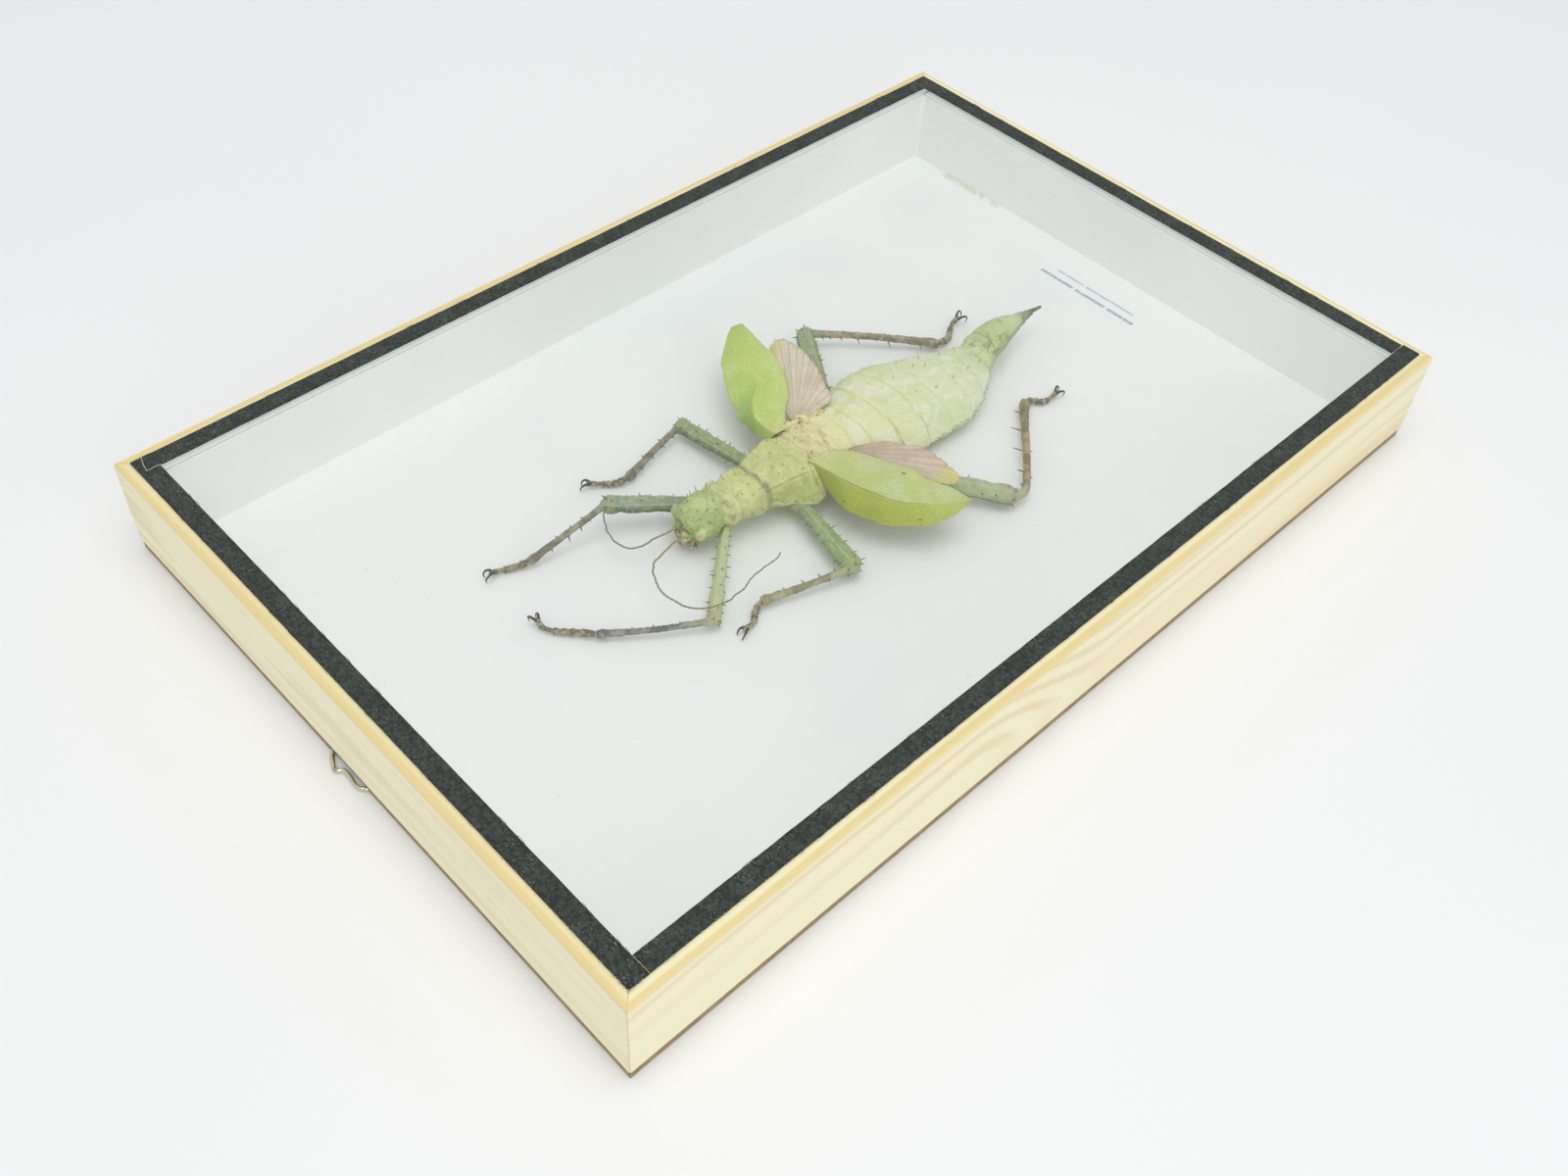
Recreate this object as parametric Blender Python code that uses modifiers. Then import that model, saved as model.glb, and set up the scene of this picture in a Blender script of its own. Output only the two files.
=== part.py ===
"""A jungle nymph, a large green stick insect, mounted in a shallow glazed box frame.

The frame lies on its back: +Z is up through the glass, and the insect's head points to +Y, where the
hanging loop is. The origin is the centre of the underside of the whole object. Lengths in the tables
are millimetres, and MM turns them into Blender's metres.
"""
import math

import bmesh
import bpy
from mathutils import Matrix, Vector
from mathutils.bvhtree import BVHTree

MM = 0.001
GAP = 0.3                 # air between pieces that touch on the real object

# The frame
FRAME_WIDTH = 200.0
FRAME_LENGTH = 300.0
RAIL_THICKNESS = 7.6
RAIL_TOP = 30.5
RAIL_EDGE_ROUNDING = 0.9
BOARD_THICKNESS = 2.0
BOARD_INSET = 0.3
CARD_THICKNESS = 1.5
REBATE_WIDTH = 3.6
GLASS_THICKNESS = 2.0
LINER_THICKNESS = 0.5
TAPE_THICKNESS = 0.25
TAPE_INSET = 3.1
TAPE_WIDTH = 5.4
TAPE_CUT_SKEW = 1.6       # how far the right strip's end is cut out of square

SHARP_EDGE = math.radians(38.0)   # edges bent more than this stay crisp on the round pieces

RAIL_BOTTOM = BOARD_THICKNESS + GAP
CARD_BOTTOM = RAIL_BOTTOM
FLOOR = CARD_BOTTOM + CARD_THICKNESS
GLASS_TOP = RAIL_TOP - 0.1
GLASS_BOTTOM = GLASS_TOP - GLASS_THICKNESS
REBATE_FLOOR = GLASS_BOTTOM - GAP
TAPE_BOTTOM = RAIL_TOP + GAP

# The hanging loop, in plan: across the frame, then outwards from the edge of the back board
WIRE = 1.1
LOOP_REACH = 2.2
LOOP_HALF = 7.0
LOOP_CENTRE_X = 3.1
LOOP_TURN = math.radians(-7.0)
PRONG_DEPTH = 9.0
PRONG_INSET = 3.4
POCKET_DEPTH = 1.4
POCKET_REACH = 5.6
HOLE_CLEARANCE = 0.7

# The brads that hold the back board
BRAD_HEAD = 2.6
BRAD_HEAD_THICKNESS = 0.6
BRAD_SHANK = 1.2
BRAD_LENGTH = 9.0
BRAD_PLACES = [(-1, -115.0), (-1, 0.0), (-1, 115.0), (1, -115.0), (1, 0.0), (1, 115.0), (0, -1.0)]

# The slip of paper near the bottom wall
SLIP_SIZE = (43.0, 11.0, 0.15)
SLIP_PLACE = (4.2, -130.4)
SLIP_TURN = math.radians(0.9)

# The loop stands out past the frame, so the frame's own centre is a little below the origin
CENTRE_Y = -LOOP_REACH / 2

# The insect's body, one row a station from the neck to the tail tip: y, centre x, belly height,
# margin half-width and height, shoulder half-width and height, ridge height
BODY = [
    (37.5, 1.5, 11.6, 3.4, 14.4, 2.6, 17.4, 18.4),
    (35.5, 1.4, 9.8, 5.0, 13.6, 4.0, 17.8, 19.0),
    (33.0, 1.2, 8.8, 5.9, 13.2, 4.6, 17.8, 18.8),
    (28.5, 0.9, 8.4, 6.4, 13.2, 5.2, 18.0, 19.4),
    (25.0, 0.6, 8.0, 6.8, 13.2, 5.4, 17.6, 19.0),
    (24.0, 0.4, 8.0, 6.0, 13.0, 4.8, 16.6, 17.8),
    (23.0, 0.3, 7.8, 7.0, 13.2, 6.2, 18.0, 19.0),
    (17.0, 0.1, 7.0, 9.4, 11.8, 7.4, 18.8, 19.8),
    (11.0, 0.0, 6.4, 12.6, 11.0, 8.4, 19.0, 20.0),
    (6.5, 0.2, 6.2, 12.0, 11.0, 8.0, 17.8, 19.4),
    (3.0, 0.6, 6.0, 9.8, 11.2, 7.4, 16.4, 17.6),
    (-4.0, 0.9, 5.6, 9.8, 11.0, 6.6, 15.8, 17.0),
    (-12.0, 1.0, 5.0, 12.6, 10.2, 7.8, 15.4, 16.8),
    (-20.0, 1.3, 4.6, 15.8, 9.6, 9.4, 15.2, 16.8),
    (-28.0, 1.5, 4.1, 17.4, 9.2, 10.4, 15.0, 16.8),
    (-38.0, 1.7, 4.1, 17.7, 9.2, 10.4, 15.0, 16.8),
    (-47.0, 0.8, 4.6, 15.7, 9.4, 9.2, 14.8, 16.4),
    (-55.0, -0.2, 5.2, 12.4, 9.8, 7.2, 14.6, 16.0),
    (-63.0, -0.2, 6.0, 8.0, 10.6, 5.2, 14.6, 15.6),
    (-68.5, -0.2, 6.8, 5.9, 11.8, 4.0, 15.0, 15.8),
    (-73.0, 0.5, 7.4, 5.8, 12.6, 3.9, 15.6, 16.6),
    (-79.0, 1.4, 8.2, 5.2, 13.0, 3.2, 16.0, 17.0),
    (-85.0, 1.5, 9.2, 3.4, 13.2, 2.2, 15.4, 16.2),
    (-90.0, 1.4, 10.4, 2.0, 13.2, 1.3, 14.6, 15.2),
    (-95.5, 1.3, 11.8, 1.0, 13.2, 0.7, 14.0, 14.4),
    (-99.5, 1.2, 12.6, 0.4, 13.2, 0.3, 13.5, 13.7),
]
BODY_SIDES = 16
BODY_ROUNDNESS = 0.5      # 0 keeps the sections' corners sharp and 1 rounds them fully

# The head, a blunt egg with its face turned down, and its eyes and mouthparts measured from its centre
HEAD_CENTRE = (1.9, 38.8, 13.8)
HEAD_RADII = (5.9, 7.2, 6.0)
HEAD_LEAN = math.radians(-22.0)
EYE_RADIUS = 1.15
EYE_PLACE = (4.9, 4.0, 0.6)
JAW_RADII = (2.8, 2.2, 2.8)
JAW_PLACE = (0.0, 5.6, -3.2)

# Legs as joint points: hip, knee, end of the shin, then the points of the foot.
# Near is the left side, -X, and far is the right side. The first numbers are the thickest half-width
# of the thigh and of the shin.
LEGS = {
    "front_far": (2.15, 1.05, [(5.6, 31.0, 10.0), (19.0, 56.1, 15.4), (23.9, 78.8, 6.2),
                               (26.1, 84.1, 5.3), (27.1, 89.5, 6.0)]),
    "front_near": (2.15, 1.05, [(-0.3, 32.4, 9.8), (-24.1, 57.9, 7.6), (-8.1, 81.0, 6.0),
                                (-0.4, 86.6, 5.4), (3.0, 89.3, 5.5), (5.7, 90.2, 6.5)]),
    "mid_far": (2.35, 1.15, [(8.0, 13.8, 10.0), (35.0, 17.7, 8.0), (30.9, 40.0, 6.0),
                             (33.8, 45.0, 5.3), (36.6, 48.9, 5.8)]),
    "mid_near": (2.35, 1.15, [(-8.0, 13.6, 9.4), (-35.2, 19.8, 8.6), (-26.5, 43.4, 6.2),
                              (-28.5, 47.8, 5.4), (-28.9, 52.6, 5.5)]),
    "hind_far": (2.95, 1.45, [(8.5, -5.0, 9.8), (41.3, -36.4, 8.4), (14.3, -68.2, 6.2),
                              (14.6, -72.0, 5.5), (18.4, -76.5, 5.4), (19.6, -81.0, 6.4)]),
    "hind_near": (2.95, 1.45, [(-8.0, -6.0, 9.4), (-44.2, -33.4, 8.2), (-21.3, -66.2, 6.2),
                               (-22.1, -71.1, 5.5), (-24.4, -73.9, 5.4), (-24.0, -79.6, 6.4)]),
}
FEMUR_TAPER = [0.72, 0.92, 1.0, 1.0, 0.96]
TIBIA_TAPER = [0.9, 0.86, 0.9, 1.0, 1.15]
FOOT_RADIUS = 0.75
FEMUR_SPINES = 5
TIBIA_SPINES = 4
LEG_SPINE_HEIGHT = 1.2
CLAW_LENGTH = 2.4
SPINE_BASE = 0.45

# Thorns on the back in left and right pairs: how far from the middle, and y
BACK_SPINES = [(4.3, 41.0), (2.2, 38.6), (4.6, 38.0), (3.6, 35.4), (3.4, 31.0), (4.0, 26.6),
               (5.4, 20.0), (6.2, 13.0), (4.6, -44.0), (4.2, -51.0), (3.6, -58.0)]
BACK_SPINE_HEIGHT = 1.7
MARGIN_TEETH = 15
MARGIN_TEETH_FROM = -18.0
MARGIN_TEETH_TO = -62.0

# The short lower prong of the forked tail
PRONG_ROOT = (1.3, -92.0, 11.2)
PRONG_TIP = (1.3, -96.2, 10.5)
PRONG_BASE = 0.8

# The fore wings, not quite alike: the rear edge, the keel and the front edge, each from root to tip
FORE_WINGS = {
    "near": ([(-4.9, 7.2, 16.6), (-6.4, -0.6, 17.2), (-12.7, -5.4, 18.2), (-21.0, -8.6, 18.6),
              (-31.6, -11.5, 18.8), (-38.6, -13.5, 18.5), (-44.0, -14.9, 17.8)],
             [(-7.5, 8.5, 17.6), (-12.4, 9.1, 19.2), (-20.6, 7.9, 20.8), (-29.7, 4.8, 21.0),
              (-35.2, -0.1, 20.6), (-39.6, -6.2, 19.6), (-44.0, -14.7, 17.8)],
             [(-7.1, 8.0, 15.5), (-13.1, 8.8, 14.0), (-22.9, 9.4, 13.0), (-29.6, 7.8, 13.0),
              (-36.0, 2.8, 13.5), (-40.8, -2.8, 14.8), (-42.9, -8.3, 16.2), (-44.1, -14.8, 17.6)]),
    "far": ([(10.0, 3.4, 16.6), (12.8, -1.6, 17.4), (16.4, -6.2, 18.6), (20.4, -9.3, 19.8),
             (26.2, -11.9, 20.8), (32.4, -13.3, 21.6), (39.6, -14.1, 22.2), (46.6, -14.5, 22.2)],
            [(9.4, 5.0, 17.6), (12.6, 6.4, 19.6), (19.9, 5.6, 21.4), (26.3, 3.1, 22.2),
             (32.6, -0.6, 22.8), (38.2, -4.8, 23.0), (42.7, -9.3, 22.8), (46.6, -14.3, 22.2)],
            [(9.6, 5.8, 15.4), (13.5, 7.0, 14.2), (18.2, 7.5, 14.4), (23.9, 6.4, 15.0),
             (31.1, 3.4, 15.8), (36.3, 0.1, 16.8), (41.4, -4.2, 18.6), (46.7, -14.2, 22.1)]),
}
FORE_WING_THICKNESS = 0.6

# The hind wings, pleated fans: the two ends of the root, then the outer edge from front to rear
HIND_WINGS = {
    "near": ([(-5.0, -1.4, 15.2), (-4.6, -8.0, 15.2)],
             [(-36.5, -16.8, 17.0), (-36.0, -19.2, 17.2), (-33.6, -20.2, 17.4), (-27.3, -20.9, 17.4),
              (-22.7, -19.9, 17.2), (-17.1, -17.2, 17.0), (-12.2, -14.0, 16.8)]),
    "far": ([(6.2, -1.2, 15.0), (6.2, -8.4, 15.0)],
            [(35.6, -16.7, 18.6), (36.6, -20.4, 18.6), (33.7, -23.3, 18.5), (27.8, -23.4, 18.3),
             (20.5, -21.2, 18.0), (14.8, -18.6, 17.6), (9.9, -16.2, 17.2)]),
}
HIND_WING_THICKNESS = 0.5

# Antennae, from the face to the tip
ANTENNAE = {
    "far": [(3.9, 43.6, 12.2), (4.7, 52.0, 11.0), (6.9, 59.1, 10.4), (12.1, 60.0, 9.8),
            (19.9, 56.9, 9.4), (23.9, 53.8, 9.4), (26.5, 48.2, 10.0)],
    "near": [(0.8, 45.0, 11.5), (-1.6, 55.4, 12.0), (-3.5, 60.7, 12.4), (-10.8, 64.0, 12.6),
             (-20.0, 62.1, 12.8), (-23.1, 58.1, 12.8), (-23.8, 50.4, 12.8), (-22.3, 43.1, 12.8),
             (-21.2, 32.8, 13.0)],
}
ANTENNA_RADIUS = 0.3

COLOURS = {
    "pine": ((0.80, 0.66, 0.40), 0.55, 0.0),
    "hardboard": ((0.28, 0.18, 0.10), 0.80, 0.0),
    "card": ((0.88, 0.90, 0.90), 0.85, 0.0),
    "glass": ((0.90, 0.95, 0.94), 0.03, 0.0),
    "cloth": ((0.012, 0.014, 0.014), 0.85, 0.0),
    "paper": ((0.93, 0.94, 0.94), 0.85, 0.0),
    "steel": ((0.62, 0.60, 0.52), 0.35, 1.0),
    "insect": ((0.45, 0.56, 0.16), 0.55, 0.0),
}


def clear_scene():
    for thing in list(bpy.data.objects):
        bpy.data.objects.remove(thing, do_unlink=True)


def new_collection(name):
    collection = bpy.data.collections.new(name)
    bpy.context.scene.collection.children.link(collection)
    return collection


def material(piece_name, finish):
    """A material of the piece's own, in one of the named finishes."""
    colour, roughness, metallic = COLOURS[finish]
    made = bpy.data.materials.new(piece_name + "_" + finish)
    made.use_nodes = True
    shader = made.node_tree.nodes["Principled BSDF"]
    shader.inputs["Base Color"].default_value = (*colour, 1.0)
    shader.inputs["Roughness"].default_value = roughness
    shader.inputs["Metallic"].default_value = metallic
    if finish == "glass":
        shader.inputs["Transmission Weight"].default_value = 1.0
    return made


def add_object(name, mesh, collection, finish=None):
    thing = bpy.data.objects.new(name, mesh)
    collection.objects.link(thing)
    if finish:
        mesh.materials.append(material(name, finish))
    return thing


def mesh_from(bm, name):
    """A mesh with its faces pointing out, which very small shapes need a second look for."""
    bmesh.ops.recalc_face_normals(bm, faces=bm.faces)
    if bm.calc_volume(signed=True) < 0.0:
        bmesh.ops.reverse_faces(bm, faces=bm.faces)
    mesh = bpy.data.meshes.new(name)
    bm.to_mesh(mesh)
    bm.free()
    return mesh


def shade_round(mesh):
    """Smooth shading, as on a turned or grown surface, with its real edges kept sharp."""
    mesh.shade_smooth()
    mesh.set_sharp_from_angle(angle=SHARP_EDGE)
    return mesh


def box_bmesh(low, high):
    """A box between two corners given in millimetres."""
    low = Vector(low) * MM
    high = Vector(high) * MM
    bm = bmesh.new()
    bmesh.ops.create_cube(bm, size=1.0)
    bmesh.ops.scale(bm, vec=high - low, verts=bm.verts)
    bmesh.ops.translate(bm, vec=(low + high) / 2, verts=bm.verts)
    return bm


def add_box(name, low, high, finish):
    return add_object(name, mesh_from(box_bmesh(low, high), name), parts, finish)


def add_cutter(name, bm):
    """A hidden shape that other pieces are cut with."""
    return as_cutter(add_object(name, mesh_from(bm, name), cutters))


def as_cutter(thing):
    thing.hide_render = True
    thing.display_type = "WIRE"
    return thing


def cut(piece, cutter):
    boolean = piece.modifiers.new("cut_" + cutter.name, "BOOLEAN")
    boolean.operation = "DIFFERENCE"
    boolean.object = cutter


def cylinder_bmesh(radius, low, high, x, y, sides=6):
    """An upright cylinder between two heights."""
    bm = bmesh.new()
    bmesh.ops.create_cone(bm, cap_ends=True, segments=sides, radius1=radius * MM, radius2=radius * MM,
                          depth=(high - low) * MM)
    bmesh.ops.translate(bm, vec=Vector((x, y, (low + high) / 2)) * MM, verts=bm.verts)
    return bm


# Frame

def make_rail(side, length, turn, reach):
    """A rail with its outer arrises rounded and its ends cut to mitres, then turned to its side."""
    half = length / 2
    bm = box_bmesh((-half, -RAIL_THICKNESS, RAIL_BOTTOM), (half, 0.0, RAIL_TOP))
    outer = [e for e in bm.edges
             if all(abs(v.co.y) < 1e-6 for v in e.verts) and abs(e.verts[0].co.z - e.verts[1].co.z) < 1e-6]
    bmesh.ops.bevel(bm, geom=outer, offset=RAIL_EDGE_ROUNDING * MM, segments=3, profile=0.5,
                    affect="EDGES", clamp_overlap=True)
    for end in (-1, 1):
        normal = Vector((end, -1.0, 0.0)).normalized()
        corner = Vector((end * half, 0.0, 0.0)) * MM - normal * (GAP / 2) * MM
        cut_geometry = bmesh.ops.bisect_plane(bm, geom=bm.verts[:] + bm.edges[:] + bm.faces[:],
                                              plane_co=corner, plane_no=normal, clear_outer=True)
        edges = [g for g in cut_geometry["geom_cut"] if isinstance(g, bmesh.types.BMEdge)]
        bmesh.ops.edgeloop_fill(bm, edges=edges)
    bm.transform(Matrix.Translation(Vector((0.0, CENTRE_Y, 0.0)) * MM)
                 @ Matrix.Rotation(turn, 4, "Z")
                 @ Matrix.Translation(Vector((0.0, reach, 0.0)) * MM))
    return add_object("rail_" + side, mesh_from(bm, side), parts, "pine")


def glass_seat_cutter():
    """The rebate: one block as wide as the pane's seat cuts all four rails."""
    half_x = FRAME_WIDTH / 2 - RAIL_THICKNESS + REBATE_WIDTH
    half_y = FRAME_LENGTH / 2 - RAIL_THICKNESS + REBATE_WIDTH
    return add_cutter("glass_seat", box_bmesh((-half_x, CENTRE_Y - half_y, REBATE_FLOOR),
                                              (half_x, CENTRE_Y + half_y, RAIL_TOP + 5.0)))


def make_glass():
    half_x = FRAME_WIDTH / 2 - RAIL_THICKNESS + REBATE_WIDTH - GAP
    half_y = FRAME_LENGTH / 2 - RAIL_THICKNESS + REBATE_WIDTH - GAP
    add_box("glass_pane", (-half_x, CENTRE_Y - half_y, GLASS_BOTTOM),
            (half_x, CENTRE_Y + half_y, GLASS_TOP), "glass")


def make_liners():
    """White card against the four inner walls; the side strips stand between the end strips."""
    half_x = FRAME_WIDTH / 2 - RAIL_THICKNESS - GAP
    half_y = FRAME_LENGTH / 2 - RAIL_THICKNESS - GAP
    low = FLOOR + GAP
    high = REBATE_FLOOR
    inner_y = half_y - LINER_THICKNESS - GAP
    for side, sign in (("top", 1), ("bottom", -1)):
        ends = sorted((sign * half_y, sign * (half_y - LINER_THICKNESS)))
        add_box("liner_" + side, (-half_x, CENTRE_Y + ends[0], low), (half_x, CENTRE_Y + ends[1], high),
                "card")
    for side, sign in (("right", 1), ("left", -1)):
        ends = sorted((sign * half_x, sign * (half_x - LINER_THICKNESS)))
        add_box("liner_" + side, (ends[0], CENTRE_Y - inner_y, low), (ends[1], CENTRE_Y + inner_y, high),
                "card")


def make_tapes():
    """Four strips laid round like a pinwheel; the right one ends in a crooked cut at the top corner."""
    half_x = FRAME_WIDTH / 2 - TAPE_INSET
    half_y = FRAME_LENGTH / 2 - TAPE_INSET
    low = TAPE_BOTTOM
    high = TAPE_BOTTOM + TAPE_THICKNESS
    inner_x = half_x - TAPE_WIDTH
    inner_y = half_y - TAPE_WIDTH
    add_box("tape_top", (-half_x, CENTRE_Y + inner_y, low), (half_x, CENTRE_Y + half_y, high), "cloth")
    add_box("tape_left", (-half_x, CENTRE_Y - half_y, low),
            (-inner_x, CENTRE_Y + inner_y - GAP, high), "cloth")
    add_box("tape_bottom", (-inner_x + GAP, CENTRE_Y - half_y, low),
            (half_x, CENTRE_Y - inner_y, high), "cloth")
    right = box_bmesh((inner_x, CENTRE_Y - inner_y + GAP, low), (half_x, CENTRE_Y + inner_y - GAP, high))
    for v in right.verts:
        if v.co.y > 0 and v.co.x > (inner_x + TAPE_WIDTH / 2) * MM:
            v.co.y -= TAPE_CUT_SKEW * MM
    add_object("tape_right", mesh_from(right, "tape_right"), parts, "cloth")


def loop_route():
    """The loop's wire in plan and height: up the first prong, round the notched loop, up the second."""
    up = BOARD_THICKNESS + PRONG_DEPTH - PRONG_INSET
    flat = WIRE / 2 + 0.05
    out = LOOP_REACH - WIRE / 2 - 0.5
    half = LOOP_HALF
    arm = [(half, -PRONG_INSET, up), (half, -PRONG_INSET, flat + 0.8), (half, -PRONG_INSET + 0.5, flat),
           (half, -0.6, flat), (half - 0.9, out - 0.5, flat), (half - 2.4, out, flat),
           (half - 4.4, out - 0.2, flat), (1.1, out - 1.1, flat), (0.0, out - 1.5, flat)]
    other = [(-x, y, z) for x, y, z in reversed(arm[:-1])]
    turn = Matrix.Rotation(LOOP_TURN, 4, "Z")
    edge = Vector((LOOP_CENTRE_X, CENTRE_Y + FRAME_LENGTH / 2, 0.0))
    return [edge + turn @ Vector(p) for p in arm + other]


def tube(name, points, radii, collection, resolution=1, finish=None):
    """A round wire or limb along a list of points, as a closed mesh."""
    curve = bpy.data.curves.new(name, "CURVE")
    curve.dimensions = "3D"
    curve.bevel_depth = MM
    curve.bevel_resolution = resolution
    curve.use_fill_caps = True
    spline = curve.splines.new("POLY")
    spline.points.add(len(points) - 1)
    for spot, place, radius in zip(spline.points, points, radii):
        spot.co = (*(Vector(place) * MM), 1.0)
        spot.radius = radius
    guide = bpy.data.objects.new(name + "_curve", curve)
    bpy.context.scene.collection.objects.link(guide)
    bpy.context.view_layer.update()
    evaluated = guide.evaluated_get(bpy.context.evaluated_depsgraph_get())
    mesh = bpy.data.meshes.new_from_object(evaluated)
    bpy.data.objects.remove(guide, do_unlink=True)
    bm = bmesh.new()
    bm.from_mesh(mesh)
    bmesh.ops.remove_doubles(bm, verts=bm.verts, dist=1e-6)
    bpy.data.meshes.remove(mesh)
    return add_object(name, shade_round(mesh_from(bm, name)), collection, finish)


def make_hanging_loop():
    route = loop_route()
    tube("hanging_loop", route, [WIRE / 2] * len(route), parts, resolution=1, finish="steel")
    ends = (route[0], route[-1])
    radius = (WIRE + HOLE_CLEARANCE) / 2
    return [cylinder_bmesh(radius, -1.0, end.z + GAP, end.x, end.y) for end in ends]


def turned(name, profile, x, y, collection, finish=None):
    """A closed profile of radii and heights, turned about an upright axis."""
    bm = bmesh.new()
    verts = [bm.verts.new(Vector((r, 0.0, z)) * MM) for r, z in profile]
    for a, b in zip(verts, verts[1:]):
        bm.edges.new((a, b))
    mesh = bpy.data.meshes.new(name)
    bm.to_mesh(mesh)
    bm.free()
    thing = add_object(name, mesh, collection, finish)
    thing.location = Vector((x, y, 0.0)) * MM
    screw = thing.modifiers.new("turned", "SCREW")
    screw.steps = 6
    screw.render_steps = 6
    screw.use_merge_vertices = True
    screw.merge_threshold = 0.00001
    screw.use_smooth_shade = True
    return thing


def make_brads():
    """Small nails with flat heads, sunk flush in the back board, and the stepped holes they sit in."""
    head = BRAD_HEAD / 2
    shank = BRAD_SHANK / 2
    seat = GAP + BRAD_HEAD_THICKNESS
    holes = []
    reach_x = FRAME_WIDTH / 2 - RAIL_THICKNESS / 2
    reach_y = FRAME_LENGTH / 2 - RAIL_THICKNESS / 2
    for number, (side, along) in enumerate(BRAD_PLACES, start=1):
        x = side * reach_x
        y = CENTRE_Y + (along if side else along * reach_y)
        nail = [(0.0, BRAD_LENGTH), (shank, BRAD_LENGTH - 1.2), (shank, seat), (head, seat),
                (head, GAP), (0.0, GAP)]
        turned("brad_%d" % number, nail, x, y, parts, "steel")
        hole = [(0.0, BRAD_LENGTH + GAP), (shank + GAP, BRAD_LENGTH + GAP), (shank + GAP, seat + GAP),
                (head + GAP, seat + GAP), (head + GAP, -1.0), (0.0, -1.0)]
        holes.append(as_cutter(turned("brad_hole_%d" % number, hole, x, y, cutters)))
    return holes


def make_frame():
    seat = glass_seat_cutter()
    rails = [make_rail("top", FRAME_WIDTH, 0.0, FRAME_LENGTH / 2),
             make_rail("left", FRAME_LENGTH, math.radians(90.0), FRAME_WIDTH / 2),
             make_rail("bottom", FRAME_WIDTH, math.radians(180.0), FRAME_LENGTH / 2),
             make_rail("right", FRAME_LENGTH, math.radians(-90.0), FRAME_WIDTH / 2)]
    half_x = FRAME_WIDTH / 2 - BOARD_INSET
    half_y = FRAME_LENGTH / 2 - BOARD_INSET
    board = add_box("back_board", (-half_x, CENTRE_Y - half_y, 0.0),
                    (half_x, CENTRE_Y + half_y, BOARD_THICKNESS), "hardboard")
    pocket = add_cutter("loop_pocket", box_bmesh(
        (LOOP_CENTRE_X - LOOP_HALF - 1.6, CENTRE_Y + FRAME_LENGTH / 2 - POCKET_REACH, -1.0),
        (LOOP_CENTRE_X + LOOP_HALF + 1.6, CENTRE_Y + FRAME_LENGTH / 2 + 2.0, POCKET_DEPTH)))
    cut(board, pocket)
    holes = [add_cutter("prong_hole_%d" % n, bm) for n, bm in enumerate(make_hanging_loop(), start=1)]
    holes += make_brads()
    for hole in holes:
        cut(board, hole)
    for rail in rails:
        cut(rail, seat)
        for hole in holes:
            if stands_in(hole, rail):
                cut(rail, hole)
    make_glass()
    make_liners()
    inner_x = FRAME_WIDTH / 2 - RAIL_THICKNESS - GAP
    inner_y = FRAME_LENGTH / 2 - RAIL_THICKNESS - GAP
    add_box("backing_card", (-inner_x, CENTRE_Y - inner_y, CARD_BOTTOM),
            (inner_x, CENTRE_Y + inner_y, FLOOR), "card")
    make_tapes()
    slip = box_bmesh((-SLIP_SIZE[0] / 2, -SLIP_SIZE[1] / 2, 0.0),
                     (SLIP_SIZE[0] / 2, SLIP_SIZE[1] / 2, SLIP_SIZE[2]))
    slip.transform(Matrix.Translation(Vector((SLIP_PLACE[0], CENTRE_Y + SLIP_PLACE[1], FLOOR + GAP)) * MM)
                   @ Matrix.Rotation(SLIP_TURN, 4, "Z"))
    add_object("label_slip", mesh_from(slip, "label_slip"), parts, "paper")


def stands_in(hole, rail):
    """Whether an upright hole's axis passes through a rail's plan."""
    where = hole.location + sum((v.co for v in hole.data.vertices), Vector()) / len(hole.data.vertices)
    if "brad" in hole.name:
        where = hole.location
    xs = [v.co.x for v in rail.data.vertices]
    ys = [v.co.y for v in rail.data.vertices]
    return min(xs) < where.x < max(xs) and min(ys) < where.y < max(ys)


# Insect

def catmull_rom(window, u):
    """A point between the middle two of four points or rows; u runs from 0 to 1."""
    return [0.5 * (2 * b + (c - a) * u + (2 * a - 5 * b + 4 * c - d) * u * u
                   + (3 * b - a - 3 * c + d) * u * u * u)
            for a, b, c, d in zip(*window)]


def spline_point(points, t):
    """A point on the smooth curve through a list of points or rows, t from 0 to 1."""
    last = len(points) - 1
    along = min(max(t, 0.0), 1.0) * last
    k = min(int(along), last - 1)
    window = (points[max(k - 1, 0)], points[k], points[k + 1], points[min(k + 2, last)])
    return catmull_rom(window, along - k)


def even_points(points, count):
    """Points spaced evenly by length along the smooth curve through a list of points."""
    dense = [Vector(spline_point(points, n / 200)) for n in range(201)]
    run = [0.0]
    for a, b in zip(dense, dense[1:]):
        run.append(run[-1] + (b - a).length)
    even = []
    k = 0
    for n in range(count):
        goal = run[-1] * n / (count - 1)
        while k < 199 and run[k + 1] < goal:
            k += 1
        share = (goal - run[k]) / max(run[k + 1] - run[k], 1e-9)
        even.append(dense[k].lerp(dense[k + 1], share))
    return even


def placed(point):
    """A point of the tables as metres in the object's frame."""
    return (Vector(point) + Vector((0.0, CENTRE_Y, 0.0))) * MM


def body_row(y):
    """The body's measures at a place along it, straight between stations."""
    for a, b in zip(BODY, BODY[1:]):
        if a[0] >= y >= b[0]:
            share = (a[0] - y) / (a[0] - b[0])
            return [p + (q - p) * share for p, q in zip(a, b)]
    return list(BODY[-1])


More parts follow.
